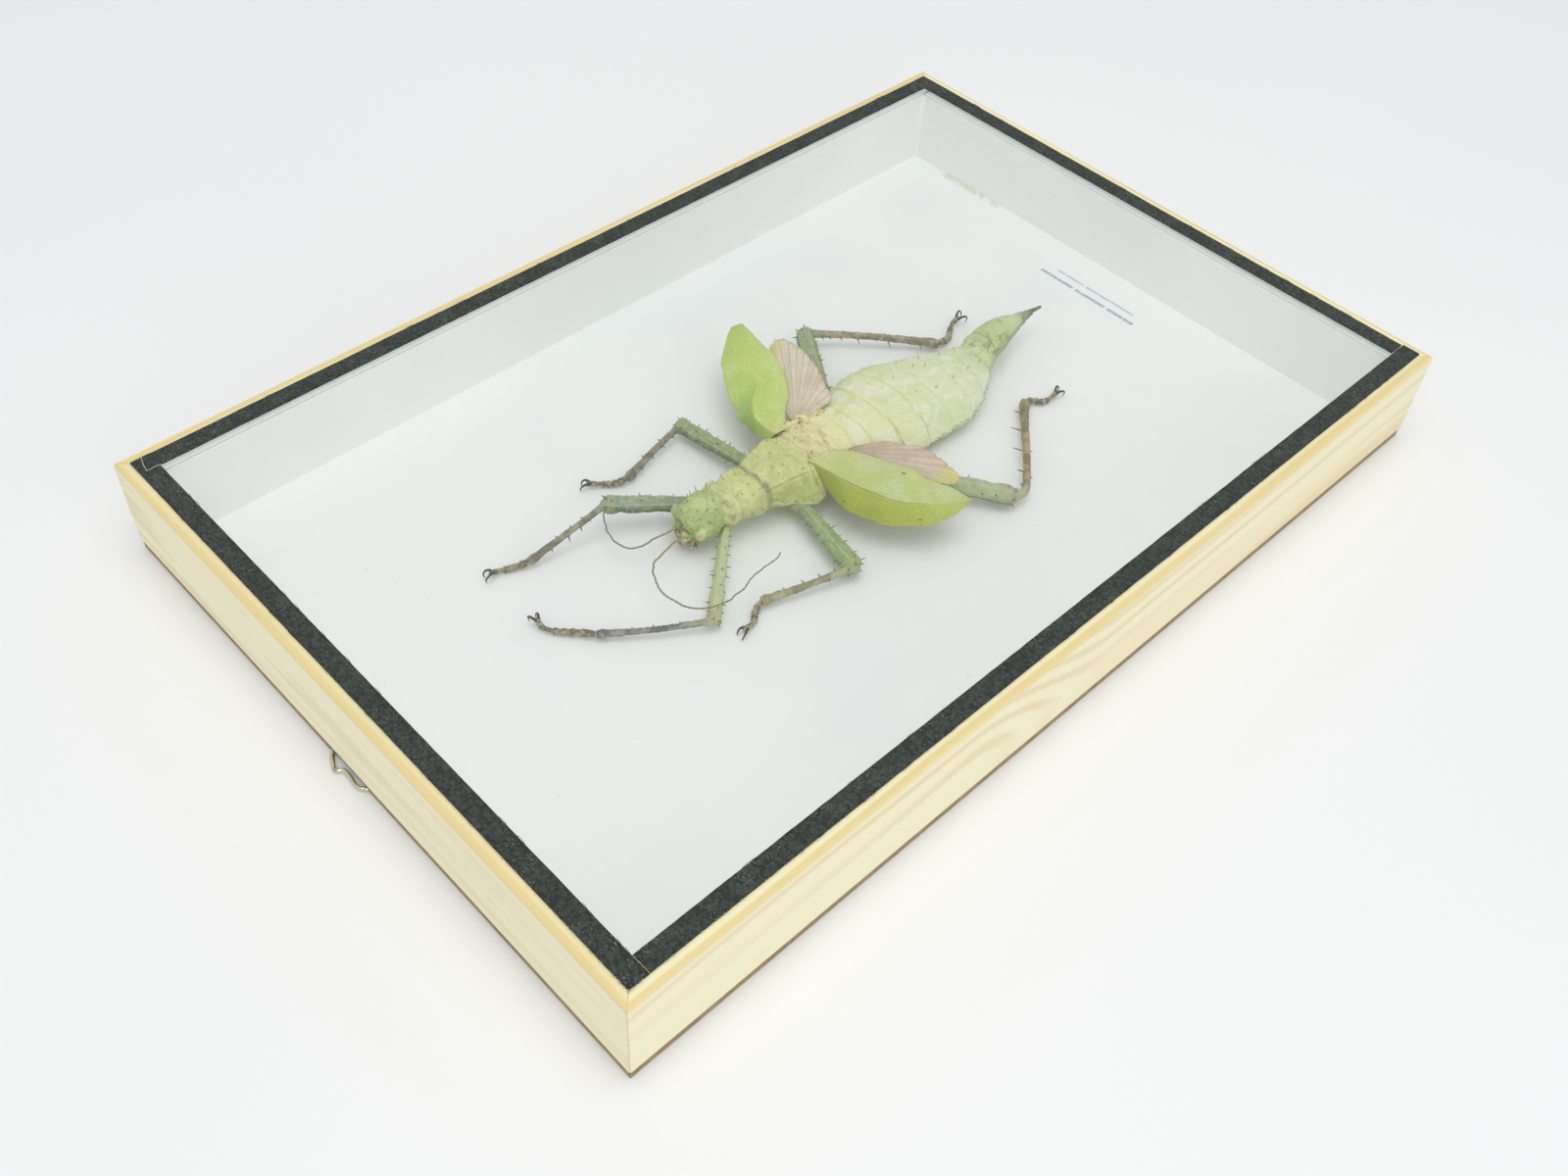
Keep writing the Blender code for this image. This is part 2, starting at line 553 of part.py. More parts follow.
def body_ring(row):
    """One cross-section: belly, flank, margin, shoulder and ridge, mirrored left to right."""
    y, cx, belly, margin, margin_z, shoulder, shoulder_z, ridge = row
    flank = (margin * 0.68, belly + (margin_z - belly) * 0.28)
    right = [(0.0, belly), flank, (margin, margin_z), (shoulder, shoulder_z)]
    loop = right + [(0.0, ridge)] + [(-x, z) for x, z in reversed(right[1:])]
    loop = loop[-1:] + loop + loop[:2]
    ring = []
    for n in range(BODY_SIDES):
        along = n * 8 / BODY_SIDES
        k = int(along)
        u = along - k
        smooth = Vector(catmull_rom(loop[k:k + 4], u))
        straight = Vector(loop[k + 1]).lerp(Vector(loop[k + 2]), u)
        x, z = straight.lerp(smooth, BODY_ROUNDNESS)
        ring.append(placed((cx + x, y, z)))
    return ring


def make_body():
    """The trunk from neck to tail, a loft through unlike sections."""
    bm = bmesh.new()
    rings = []
    steps = 2 * (len(BODY) - 1)
    for n in range(steps + 1):
        row = spline_point(BODY, n / steps)
        rings.append([bm.verts.new(p) for p in body_ring(row)])
    for a, b in zip(rings, rings[1:]):
        for n in range(BODY_SIDES):
            m = (n + 1) % BODY_SIDES
            bm.faces.new((a[n], a[m], b[m], b[n]))
    bm.faces.new(rings[0])
    bm.faces.new(list(reversed(rings[-1])))
    bmesh.ops.triangulate(bm, faces=bm.faces)
    return add_object("trunk", shade_round(mesh_from(bm, "trunk")), limbs)


def make_ball(name, centre, radii, lean=0.0, rings=8, sides=12):
    bm = bmesh.new()
    bmesh.ops.create_uvsphere(bm, u_segments=sides, v_segments=rings, radius=MM)
    bm.transform(Matrix.Translation(placed(centre)) @ Matrix.Rotation(lean, 4, "X")
                 @ Matrix.Diagonal((*radii, 1.0)))
    return add_object(name, shade_round(mesh_from(bm, name)), limbs)


def make_head():
    lean = Matrix.Rotation(HEAD_LEAN, 4, "X")
    head = make_ball("head", HEAD_CENTRE, HEAD_RADII, HEAD_LEAN, rings=10, sides=16)
    for side in (-1, 1):
        place = Vector(HEAD_CENTRE) + lean @ Vector((side * EYE_PLACE[0], EYE_PLACE[1], EYE_PLACE[2]))
        make_ball("eye_%d" % side, place, (EYE_RADIUS,) * 3, rings=5, sides=8)
    make_ball("jaw", Vector(HEAD_CENTRE) + lean @ Vector(JAW_PLACE), JAW_RADII, HEAD_LEAN, rings=6, sides=10)
    return head


def make_spine(root, direction, length, base=SPINE_BASE):
    """A four-sided thorn whose foot is buried in what it grows from."""
    bm = bmesh.new()
    bmesh.ops.create_cone(bm, cap_ends=True, segments=4, radius1=base * MM, radius2=0.0,
                          depth=length * MM)
    bmesh.ops.translate(bm, vec=(0.0, 0.0, length / 2 * MM), verts=bm.verts)
    turn = Vector(direction).to_track_quat("Z", "Y").to_matrix().to_4x4()
    bm.transform(Matrix.Translation(placed(root)) @ turn)
    return add_object("thorn", mesh_from(bm, "thorn"), limbs)


def limb(name, points, radii, resolution=1):
    return tube(name, [placed(p) / MM for p in points], radii, limbs, resolution=resolution)


def make_leg(name, thigh_radius, shin_radius, joints):
    """Thigh, shin and foot as tapered tubes, with rows of thorns and a pair of claws."""
    hip, knee, ankle = [Vector(p) for p in joints[:3]]
    foot = [Vector(p) for p in joints[2:]]
    thigh = (knee - hip).normalized()
    shin = (ankle - knee).normalized()
    limb(name + "_femur", [hip.lerp(knee + thigh * 0.8, n / 4) for n in range(5)],
         [thigh_radius * t for t in FEMUR_TAPER])
    limb(name + "_tibia", [(knee - shin * 0.5).lerp(ankle, n / 4) for n in range(5)],
         [shin_radius * t for t in TIBIA_TAPER])
    limb(name + "_foot", [ankle - shin * 0.8] + foot[1:],
         [FOOT_RADIUS * 1.2] + [FOOT_RADIUS] * (len(foot) - 1))
    for start, end, radius, count in ((hip, knee, thigh_radius, FEMUR_SPINES),
                                      (knee, ankle, shin_radius, TIBIA_SPINES)):
        along = (end - start).normalized()
        across = along.cross(Vector((0.0, 0.0, 1.0))).normalized()
        for n in range(count):
            root = start.lerp(end, (n + 1.2) / (count + 0.9))
            for side in (-1, 1):
                lean = across * side + Vector((0.0, 0.0, 0.35)) + along * 0.3
                make_spine(root + along * side * 0.8, lean, radius + LEG_SPINE_HEIGHT)
    last = (foot[-1] - foot[-2]).normalized()
    across = last.cross(Vector((0.0, 0.0, 1.0))).normalized()
    for side in (-1, 1):
        lean = last + across * 0.75 * side + Vector((0.0, 0.0, -0.3))
        make_spine(foot[-1] - last * 0.4, lean, CLAW_LENGTH, 0.42)


def solid_sheet(name, grid, thickness):
    """A thin plate from a grid of points, made a closed solid with Solidify."""
    bm = bmesh.new()
    rows = [[bm.verts.new(placed(p)) for p in row] for row in grid]
    for a, b in zip(rows, rows[1:]):
        for n in range(len(a) - 1):
            bm.faces.new((a[n], a[n + 1], b[n + 1], b[n]))
    bmesh.ops.remove_doubles(bm, verts=bm.verts, dist=0.3 * MM)
    sheet = add_object(name, mesh_from(bm, name), limbs)
    solidify = sheet.modifiers.new("thickness", "SOLIDIFY")
    solidify.thickness = thickness * MM
    solidify.offset = 0.0
    return sheet


def make_fore_wing(side):
    """A leaf-shaped wing folded along its keel, with the front field hanging down."""
    lengths = 10
    rear, keel, front = (even_points(line, lengths) for line in FORE_WINGS[side])
    grid = []
    for n in range(lengths):
        swell = math.sin(math.pi * n / (lengths - 1))
        crown = rear[n].lerp(keel[n], 0.5) + Vector((0.0, 0.0, 0.9 * swell))
        brow = keel[n].lerp(front[n], 0.5) + Vector((0.0, 0.5 * swell, 0.7 * swell))
        grid.append([rear[n], crown, keel[n], brow, front[n]])
    solid_sheet("fore_wing_" + side, grid, FORE_WING_THICKNESS)


def make_hind_wing(side):
    """A fan of shallow pleats spread from its root."""
    root, edge = (even_points(line, 10) for line in HIND_WINGS[side])
    grid = []
    for reach, pleat in ((0.0, 0.0), (0.5, 0.15), (1.0, 0.3)):
        grid.append([a.lerp(b, reach) + Vector((0.0, 0.0, pleat * (-1) ** n))
                     for n, (a, b) in enumerate(zip(root, edge))])
    solid_sheet("hind_wing_" + side, grid, HIND_WING_THICKNESS)


def make_antennae():
    count = 16
    for side, points in ANTENNAE.items():
        radii = [ANTENNA_RADIUS * (1.25 - 0.6 * n / (count - 1)) for n in range(count)]
        limb("antenna_" + side, even_points(points, count), radii, resolution=0)


def make_body_spines(skins):
    """Thorns in pairs on the head and back, and small saw teeth along the abdomen's margins."""
    for offset, y in BACK_SPINES:
        middle = body_row(y)[1] if y < 36 else HEAD_CENTRE[0]
        for side in (-1, 1):
            above = placed((middle + side * offset, y, 40.0))
            hits = [skin.ray_cast(above, Vector((0.0, 0.0, -1.0)))[0] for skin in skins]
            top = max((hit.z for hit in hits if hit), default=0.0) / MM
            root = (middle + side * (offset - 0.3), y, top - 0.8)
            make_spine(root, (side * 0.5, 0.15, 1.0), BACK_SPINE_HEIGHT + 0.8)
    for n in range(MARGIN_TEETH):
        y = MARGIN_TEETH_FROM + (MARGIN_TEETH_TO - MARGIN_TEETH_FROM) * n / (MARGIN_TEETH - 1)
        row = body_row(y)
        for side in (-1, 1):
            make_spine((row[1] + side * (row[3] - 1.2), y, row[4]), (side, -0.3, 0.1), 2.0, 0.5)


def make_insect():
    """Every part of the animal is modelled on its own, then all are fused into one solid."""
    trunk = make_body()
    head = make_head()
    bpy.context.view_layer.update()
    graph = bpy.context.evaluated_depsgraph_get()
    skins = [BVHTree.FromObject(thing, graph) for thing in (trunk, head)]
    for name, (thigh_radius, shin_radius, joints) in LEGS.items():
        make_leg(name, thigh_radius, shin_radius, joints)
    for side in FORE_WINGS:
        make_fore_wing(side)
        make_hind_wing(side)
    make_antennae()
    make_body_spines(skins)
    make_spine(PRONG_ROOT, Vector(PRONG_TIP) - Vector(PRONG_ROOT), math.dist(PRONG_ROOT, PRONG_TIP),
               PRONG_BASE)
    insect = add_object("insect", trunk.data.copy(), parts, "insect")
    bpy.data.objects.remove(trunk, do_unlink=True)
    for piece in limbs.objects:
        as_cutter(piece).modifiers.new("flat_facets", "TRIANGULATE")
    fuse = insect.modifiers.new("fused", "BOOLEAN")
    fuse.operation = "UNION"
    fuse.operand_type = "COLLECTION"
    fuse.collection = limbs
    return insect


clear_scene()
parts = new_collection("framed_jungle_nymph")
cutters = new_collection("cutters")
limbs = new_collection("insect_limbs")
make_frame()
make_insect()
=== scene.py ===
# %% [markdown]
# # A jungle nymph in its box frame
# The object is a big green stick insect, set out on white card in a shallow glazed box of pale pine.
# This file dresses a finished model of it. The wood, card, glass and back board keep their shapes and get
# real finishes. The insect, the cloth tape, the paper slip and the wire loop are made again as fine meshes.
# The model and this scene share one frame: metres, +Z up through the glass, the insect's head to +Y.

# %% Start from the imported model
import math
from functools import cached_property

import bmesh
import bpy
import numpy as np
from mathutils import Matrix, Vector, noise


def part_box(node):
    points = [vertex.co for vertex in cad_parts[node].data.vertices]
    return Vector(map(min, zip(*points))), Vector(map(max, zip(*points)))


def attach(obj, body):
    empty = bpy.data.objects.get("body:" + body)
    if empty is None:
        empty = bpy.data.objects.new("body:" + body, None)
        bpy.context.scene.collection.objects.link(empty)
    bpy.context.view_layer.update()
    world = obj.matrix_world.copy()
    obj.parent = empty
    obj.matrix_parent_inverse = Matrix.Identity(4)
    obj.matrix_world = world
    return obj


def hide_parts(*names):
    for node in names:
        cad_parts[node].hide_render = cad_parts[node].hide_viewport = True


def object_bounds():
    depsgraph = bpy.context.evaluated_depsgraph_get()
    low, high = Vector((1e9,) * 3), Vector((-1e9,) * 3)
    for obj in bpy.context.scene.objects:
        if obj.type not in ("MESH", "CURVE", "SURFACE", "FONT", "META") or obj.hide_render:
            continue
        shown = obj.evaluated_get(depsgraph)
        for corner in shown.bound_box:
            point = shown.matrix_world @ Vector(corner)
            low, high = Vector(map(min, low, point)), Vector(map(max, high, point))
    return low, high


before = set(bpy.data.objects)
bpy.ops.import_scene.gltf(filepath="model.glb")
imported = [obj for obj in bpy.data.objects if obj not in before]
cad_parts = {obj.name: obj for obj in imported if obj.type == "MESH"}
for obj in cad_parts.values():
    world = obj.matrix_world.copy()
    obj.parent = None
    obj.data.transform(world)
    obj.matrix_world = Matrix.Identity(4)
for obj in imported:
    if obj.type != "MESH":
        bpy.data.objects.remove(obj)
CAD_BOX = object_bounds()
MM = 0.001
board_low, board_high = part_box("back_board")
SHIFT_Y = (board_low.y + board_high.y) / 2 / MM
print("the box measures", [round(side / MM, 1) for side in CAD_BOX[1] - CAD_BOX[0]], "mm")
print("its middle stands at y", round(SHIFT_Y, 3), "mm")

# %% [markdown]
# ## The camera
# The photograph looks down on the box over its near left corner. The camera's place, turn and lens were
# worked out from the box's corners, so a plain Blender camera with no shift shows the same picture.

# %% Camera
CAMERA_PLACE = (-208.5, 230.4, 305.6)
CAMERA_TURN = (41.652, -2.919, -133.760)
CAMERA_LENS = 35.27

camera = bpy.data.objects.new("camera", bpy.data.cameras.new("camera"))
bpy.context.scene.collection.objects.link(camera)
camera.location = Vector(CAMERA_PLACE) * MM
camera.rotation_euler = [math.radians(turn) for turn in CAMERA_TURN]
camera.data.lens = CAMERA_LENS
camera.data.clip_start = 0.01
bpy.context.scene.camera = camera
print("the camera stands at", CAMERA_PLACE, "mm, with a lens of", CAMERA_LENS, "mm")

# %% [markdown]
# ## Floor and light
# The photo is a bright, almost shadowless picture on white. A white floor, a pale sky and one wide soft
# lamp overhead give that: the lamp is what leaves the faint shadow under each leg and wing.

# %% Floor, sky and lamps
SKY_COLOUR = (0.985, 0.995, 1.0)
SKY_STRENGTH = 0.66
FLOOR_SIZE = 6.0
FLOOR_DROP = 0.00005
LAMP_SIZE = 1.0
# Lamps: place in metres, and watts. Both look at the box.
LAMPS = {"overhead": ((-0.22, 0.16, 1.2), 5.2), "window": ((-1.4, 0.3, 0.8), 2.4)}

world = bpy.data.worlds.new("sky")
world.use_nodes = True
background = world.node_tree.nodes["Background"]
background.inputs["Color"].default_value = (*SKY_COLOUR, 1.0)
background.inputs["Strength"].default_value = SKY_STRENGTH
bpy.context.scene.world = world
bpy.context.scene.view_settings.view_transform = "Standard"

for name, (spot, watts) in LAMPS.items():
    light = bpy.data.lights.new(name, "AREA")
    light.shape = "DISK"
    light.size = LAMP_SIZE
    light.energy = watts
    holder = bpy.data.objects.new(name, light)
    bpy.context.scene.collection.objects.link(holder)
    holder.location = spot
    holder.rotation_euler = Vector(spot).to_track_quat("Z", "Y").to_euler()

bpy.ops.mesh.primitive_plane_add(size=FLOOR_SIZE, location=(0.0, 0.0, -FLOOR_DROP))
floor = bpy.context.object
floor.name = "floor"
print("a floor of", FLOOR_SIZE, "m under", len(LAMPS), "lamps")

# %% [markdown]
# ## Shader maths as Python
# A pattern is easier to read as `1 - mask * 0.5` than as a row of nodes. `Wire` wraps one output socket
# and turns each of Python's signs into a Math node, on whichever side of the sign the wire stands. Two soft
# steps that nearly every finish needs are methods of it.


# %% Wire
def both_sides(operation):
    """The methods behind one sign: for a wire on its left, and for a wire on its right."""
    def left(wire, other=0.0):
        return wire.finish.node("ShaderNodeMath", {"operation": operation}, {0: wire, 1: other})

    def right(wire, other):
        return wire.finish.node("ShaderNodeMath", {"operation": operation}, {0: other, 1: wire})
    return left, right


class Wire:
    """One output of a shader node. Python's operators on it add Math nodes."""

    __add__, __radd__ = both_sides("ADD")
    __sub__, __rsub__ = both_sides("SUBTRACT")
    __mul__, __rmul__ = both_sides("MULTIPLY")
    __truediv__, __rtruediv__ = both_sides("DIVIDE")
    __pow__, __rpow__ = both_sides("POWER")
    __abs__ = both_sides("ABSOLUTE")[0]
    sine = both_sides("SINE")[0]
    most = both_sides("MAXIMUM")[0]

    def __init__(self, finish, socket):
        self.finish = finish
        self.socket = socket

    def eased(self, low, high, start=0.0, end=1.0):
        """A soft step from start to end as the value goes from low to high."""
        return self.finish.node("ShaderNodeMapRange", {"interpolation_type": "SMOOTHSTEP"},
                                {0: self, 1: low, 2: high, 3: start, 4: end})

    def near(self, middle, half_width):
        """1 where the value equals middle, easing to 0 at half_width from it."""
        return abs(self - middle).eased(half_width, half_width * 0.3)


# %% [markdown]
# ## A finish in the making
# A painter lays coat over coat, and so does `Finish`: it keeps the colour so far, and `coat` blends a tone
# over it where a pattern says. Its `node` method is the only place where a node is added. Colours are given
# as a picture viewer shows them, 0 to 255, and are turned into the shader's linear light.


# %% Finish
def linear(colour):
    """A colour's red, green and blue from 0 to 255, as linear light. A wire stays as it is."""
    if isinstance(colour, Wire):
        return colour
    return tuple(((c / 255 + 0.055) / 1.055) ** 2.4 if c > 10 else c / 255 / 12.92 for c in colour)


class Finish:
    """A material and its Principled shader, whose fixed values are given by socket name."""

    def __init__(self, name, **fixed):
        self.material = bpy.data.materials.new(name)
        self.material.use_nodes = True
        self.tree = self.material.node_tree
        self.shader = self.tree.nodes["Principled BSDF"]
        self.colour = None
        self.paint(**fixed)

    def feed(self, socket, value):
        if isinstance(value, Wire):
            self.tree.links.new(value.socket, socket)
        elif socket.type == "RGBA":
            socket.default_value = (*value, 1.0)
        else:
            socket.default_value = value

    def node(self, kind, settings=None, values=None, output=0):
        """Adds a node, makes its settings, feeds its sockets, and gives back one of its outputs."""
        made = self.tree.nodes.new(kind)
        for name, value in (settings or {}).items():
            if name == "stops":
                for stop, _ in value[1:-1]:
                    made.color_ramp.elements.new(stop)
                for element, (stop, colour) in zip(made.color_ramp.elements, value):
                    element.position = stop
                    element.color = (*linear(colour), 1.0)
            else:
                setattr(made, name, value)
        for name, value in (values or {}).items():
            self.feed(made.inputs[name], value)
        return Wire(self, made.outputs[output])

    def paint(self, relief=None, **sockets):
        """Feeds the shader: the colour so far, a relief as height and depth, and other sockets by name."""
        if relief:
            height, depth = relief
            sockets["Normal"] = self.node("ShaderNodeBump", None, {"Height": height, "Distance": depth})
        if self.colour:
            sockets["Base_Color"] = self.colour
        for name, value in sockets.items():
            self.feed(self.shader.inputs[name.replace("_", " ")], value)
        return self.material

    @cached_property
    def here(self):
        """The place on the object, in metres."""
        return self.node("ShaderNodeTexCoord", output="Object")

    def at(self, axis):
        """How far along one axis the place is."""
        return self.node("ShaderNodeSeparateXYZ", None, {0: self.here}, output=axis)

    def mark(self, name):
        """A number that the mesh holds at each of its points."""
        return self.node("ShaderNodeAttribute", {"attribute_name": name}, output="Fac")

    def stretched(self, factors):
        """The place, with each axis multiplied; a factor below 1 draws a pattern out along its axis."""
        return self.node("ShaderNodeVectorMath", {"operation": "MULTIPLY"}, {0: self.here, 1: factors})

    def clouds(self, size, detail=3.0, roughness=0.55, warp=0.0, stretch=None):
        """Soft patches about size metres across, from 0 to 1."""
        return self.node("ShaderNodeTexNoise", None,
                         {"Vector": self.stretched(stretch) if stretch else self.here, "Scale": 1.0 / size,
                          "Detail": detail, "Roughness": roughness, "Distortion": warp})

    def cells(self, size, feature="F1", stretch=None):
        """Distance from the middle of cells about size metres across, or from their edges."""
        return self.node("ShaderNodeTexVoronoi", {"feature": feature},
                         {"Vector": self.stretched(stretch) if stretch else self.here, "Scale": 1.0 / size})

    def net(self, size, low, high, stretch=None):
        """The edges of such cells as a net of soft lines."""
        return self.cells(size, "DISTANCE_TO_EDGE", stretch).eased(low, high)

    def blend(self, share, first, second):
        return self.node("ShaderNodeMix", {"data_type": "RGBA"},
                         {0: share, 6: linear(first), 7: linear(second)}, output=2)

    def coat(self, share, tone, under=None):
        """Lays a tone over the colour so far, or over the one given as under, as thickly as share says."""
        self.colour = self.blend(share, under or self.colour, tone)

    def ramp(self, value, stops):
        return self.node("ShaderNodeValToRGB", {"stops": stops}, {0: value})


def dress(node, material):
    """Gives a carried-over CAD node its finish."""
    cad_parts[node].data.materials.clear()
    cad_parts[node].data.materials.append(material)
    print(node, "wears", material.name)


# %% [markdown]
# ## The floor's finish
# A sheet of white laminate. It only has to be quiet: a trace of grey in wide soft patches keeps it from
# looking computed.

# %% Floor finish
finish = Finish("studio_white", Roughness=0.55)
finish.coat(finish.clouds(0.35, detail=2.0), (248, 249, 249), under=(240, 241, 242))
floor.data.materials.append(finish.paint())
print("the floor wears", finish.material.name)

# %% [markdown]
# ## Pine rails
# The frame is pale sanded pine under clear lacquer, cream with soft tan bands. A tree's rings are shells
# round its heart, so each rail gets a heart line a few centimetres inside it: the ring number is the
# distance from that line, and its sine gives the bands. The outer faces then cut the rings flat, in broad
# wandering flames. On the long rail nearest the camera the rings dive at one place and close a flame. The
# narrow top faces cut the rings across, so there the bands run straight along the rail, and because the
# tops took more lacquer, they are a little yellower.

# %% Pine finish
CREAM_WOOD = (252, 242, 202)
PALE_WOOD = (254, 248, 220)
TAN_WOOD = (228, 202, 146)
TOP_WOOD = (248, 239, 195)
TOP_TAN = (228, 202, 130)
HANDLED_WOOD = (196, 178, 138)
RING_PITCH = 0.0033
TOP_PITCH = 0.0058
HEART_DEPTH = 0.026
DIVE_DEPTH = 0.0085
STRONG_BAND = 0.7
rail_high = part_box("rail_left")[1]

# Rails: the axis of the grain, the heart's place across and up, how far the rings wander, in metres, where
# they dive, and how strongly the band on the top shows
RAILS = {
    "top": (0, 0.1454 - HEART_DEPTH, 0.021, 0.009, None, 0.45),
    "bottom": (0, -0.1476 + HEART_DEPTH, 0.010, 0.009, None, STRONG_BAND),
    "left": (1, -0.0962 + HEART_DEPTH, 0.008, 0.0035, 0.018, STRONG_BAND),
    "right": (1, 0.0962 - HEART_DEPTH, 0.018, 0.009, None, STRONG_BAND),
}


def pine(name, along, heart, heart_height, wander, dive, band, seed):
    finish = Finish(name, IOR=1.45)
    run = finish.at(along)
    across = finish.at(1 - along) - heart
    up = finish.at(2)
    off = up - heart_height
    handled = finish.clouds(0.009).eased(0.62, 0.8)
    # from here on every pattern is drawn out along the rail, and each rail has its own
    finish.here = finish.node("ShaderNodeVectorMath", {"operation": "ADD"},
                              {0: finish.stretched((0.09, 1.0, 1.0) if along == 0 else (1.0, 0.09, 1.0)),
                               1: (seed, seed * 0.7, seed * 0.31)})
    ring = (across * across + off * off) ** 0.5 + finish.clouds(0.012, detail=2.0) * wander
    ring = ring + finish.clouds(0.0022, detail=1.0) * 0.0005
    if dive is not None:
        ring = ring + run.eased(dive + 0.03, dive - 0.025) * DIVE_DEPTH
    late = (ring * (2 * math.pi / RING_PITCH)).sine().eased(-0.35, 1.0)
    straight = abs(across) + finish.clouds(0.02, detail=2.0) * 0.006 - 0.0012
    top_late = (straight * (2 * math.pi / TOP_PITCH)).sine().eased(-0.1, 1.0)
    strong = finish.clouds(0.016, detail=1.0).eased(0.34, 0.62, 0.25, 1.0)
    fibre = finish.clouds(0.0005, roughness=0.7)
    finish.coat(finish.clouds(0.02, detail=2.0), PALE_WOOD, under=CREAM_WOOD)
    finish.coat(late * strong * 0.45, TAN_WOOD)
    top = finish.blend(top_late * band + (STRONG_BAND - band) * 1.1, TOP_WOOD, TOP_TAN)
    finish.coat(up.eased(rail_high.z - 0.0018, rail_high.z), top)
    finish.coat(fibre.eased(0.52, 0.8) * 0.22, TAN_WOOD)
    finish.coat(handled * 0.1, HANDLED_WOOD)
    return finish.paint((fibre * 0.6 + late * 0.4, 0.00006), Roughness=0.42 + fibre * 0.16 + late * 0.05)


for number, (side, grain_of_rail) in enumerate(RAILS.items()):
    dress("rail_" + side, pine("pine_" + side, *grain_of_rail, 0.37 * (number + 1)))
print("the tops of the rails are at", round(rail_high.z / MM, 2), "mm")

# %% [markdown]
# ## Glass
# A flat pane shifts nothing that is seen through it, so it can be made from its two effects alone: light
# goes straight through, and a share of it, set by the Fresnel rule, is mirrored. That also lets the lamps
# light the card without the noise of refracted shadows. Only faces met from outside mirror, because a ray
# that went straight on would meet the pane's underside too flat and be thrown back by it.

# %% Glass finish
pane = Finish("pane_glass")
mirror = pane.node("ShaderNodeBsdfGlossy", None, {"Color": (1.0, 1.0, 1.0), "Roughness": 0.02})
clear = pane.node("ShaderNodeBsdfTransparent", None, {"Color": (0.996, 1.0, 0.998)})
mirrored = pane.node("ShaderNodeFresnel", None, {"IOR": 1.5})
from_inside = pane.node("ShaderNodeNewGeometry", output="Backfacing")
pane.tree.nodes.remove(pane.shader)
both = pane.node("ShaderNodeMixShader", None, {0: mirrored * (1 - from_inside), 1: clear, 2: mirror})
pane.feed(pane.tree.nodes["Material Output"].inputs["Surface"], both)
dress("glass_pane", pane.material)

# %% [markdown]
# ## White card: the floor of the box and its four walls
# Matt card, cut by hand and glued in. It is a little cool in colour, with a paper tooth that only shows up
# close, a thin brown line of glue in the fold near the far corner, and scuffs on the far short wall. The
# walls' card is painted a little lighter than the floor's: painted light for the light the walls lack.

# %% Card finish
# painted light: the walls' card is set a little lighter than the floor's, for the light the walls lack
WALL_CARD_PAINTED_LIGHTER = ((248, 248, 246), (242, 244, 243))
FLOOR_CARD = ((242, 243, 241), (237, 240, 239))
CARD_TOOTH = 0.00003
STAIN_FROM = 0.050
STAIN_TO = 0.081
card_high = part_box("backing_card")[1]
foot_wall_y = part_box("liner_bottom")[1].y


def white_card(name, tones=WALL_CARD_PAINTED_LIGHTER, scuffed=False, **fixed):
    finish = Finish(name, Roughness=0.82, **fixed)
    finish.coat(finish.clouds(0.06).eased(0.35, 0.7), tones[1], under=tones[0])
    height = finish.clouds(0.0007, detail=4.0, roughness=0.7)
    finish.coat(finish.clouds(0.0016, detail=1.0).eased(0.77, 0.82) * 0.16, (150, 150, 145))
    reach = finish.at(0)
    from_fold = abs(finish.at(2) - card_high.z) + abs(finish.at(1) - foot_wall_y)
    stain = from_fold.eased(0.0017, 0.0002) * finish.clouds(0.003).eased(0.34, 0.56)
    stain = stain * reach.eased(STAIN_FROM, STAIN_FROM + 0.006) * reach.eased(STAIN_TO, STAIN_TO - 0.004)
    finish.coat(stain * 0.6, (198, 184, 138))
    if scuffed:
        rubbed = finish.clouds(0.0016, stretch=(0.25, 1.0, 3.0)).eased(0.66, 0.74)
        scuffs = rubbed * reach.eased(-0.02, 0.06)
        finish.coat(scuffs * 0.35, (170, 172, 170))
        height = height + scuffs
    return finish.paint(relief=(height, CARD_TOOTH))


dress("backing_card", white_card("card_floor", FLOOR_CARD))
for side in ("top", "left", "right", "bottom"):
    dress("liner_" + side, white_card("card_wall_" + side, scuffed=side == "bottom"))
print("the card's floor is at", round(card_high.z / MM, 2), "mm")

# %% [markdown]
# ## Hardboard back
# Under the rails shows a thin dark line: the edge of a hardboard back. Seen from behind it is a broad
# brown sheet with a pressed, fibrous surface, so its pattern is short felted fibres at two sizes.

# %% Hardboard finish
finish = Finish("hardboard", Roughness=0.78)
felt = finish.clouds(0.0011, detail=5.0, roughness=0.7, stretch=(1.0, 0.35, 1.0))
cross_felt = finish.clouds(0.0013, detail=5.0, roughness=0.7, stretch=(0.35, 1.0, 1.0))
finish.coat((felt * 0.5 + cross_felt * 0.5).eased(0.35, 0.7), (188, 166, 128), under=(142, 120, 86))
finish.coat(finish.clouds(0.05, detail=2.0) * 0.35, (160, 136, 100))
dress("back_board", finish.paint(relief=(felt + cross_felt, 0.00008)))

# %% [markdown]
# ## Steel: nails and the loop's wire
# Bright drawn wire with the yellowish cast of a thin brass wash. Fine lines run round it from the die, and
# a few duller spots break up the shine.


# %% Steel finish
def steel(name, tint):
    finish = Finish(name, Metallic=1.0)
    dull = finish.clouds(0.0016).eased(0.5, 0.75)
    drawn = finish.clouds(0.0003, detail=2.0, stretch=(0.3, 1.0, 1.0))
    finish.coat(dull * 0.7, (160, 150, 128), under=tint)
    return finish.paint(relief=(drawn, 0.00001), Roughness=0.2 + dull * 0.28 + drawn * 0.08)


NAIL_STEEL = steel("nail_steel", (188, 188, 184))
LOOP_STEEL = steel("loop_steel", (224, 218, 196))
for number in range(1, 8):
    dress("brad_%d" % number, NAIL_STEEL)

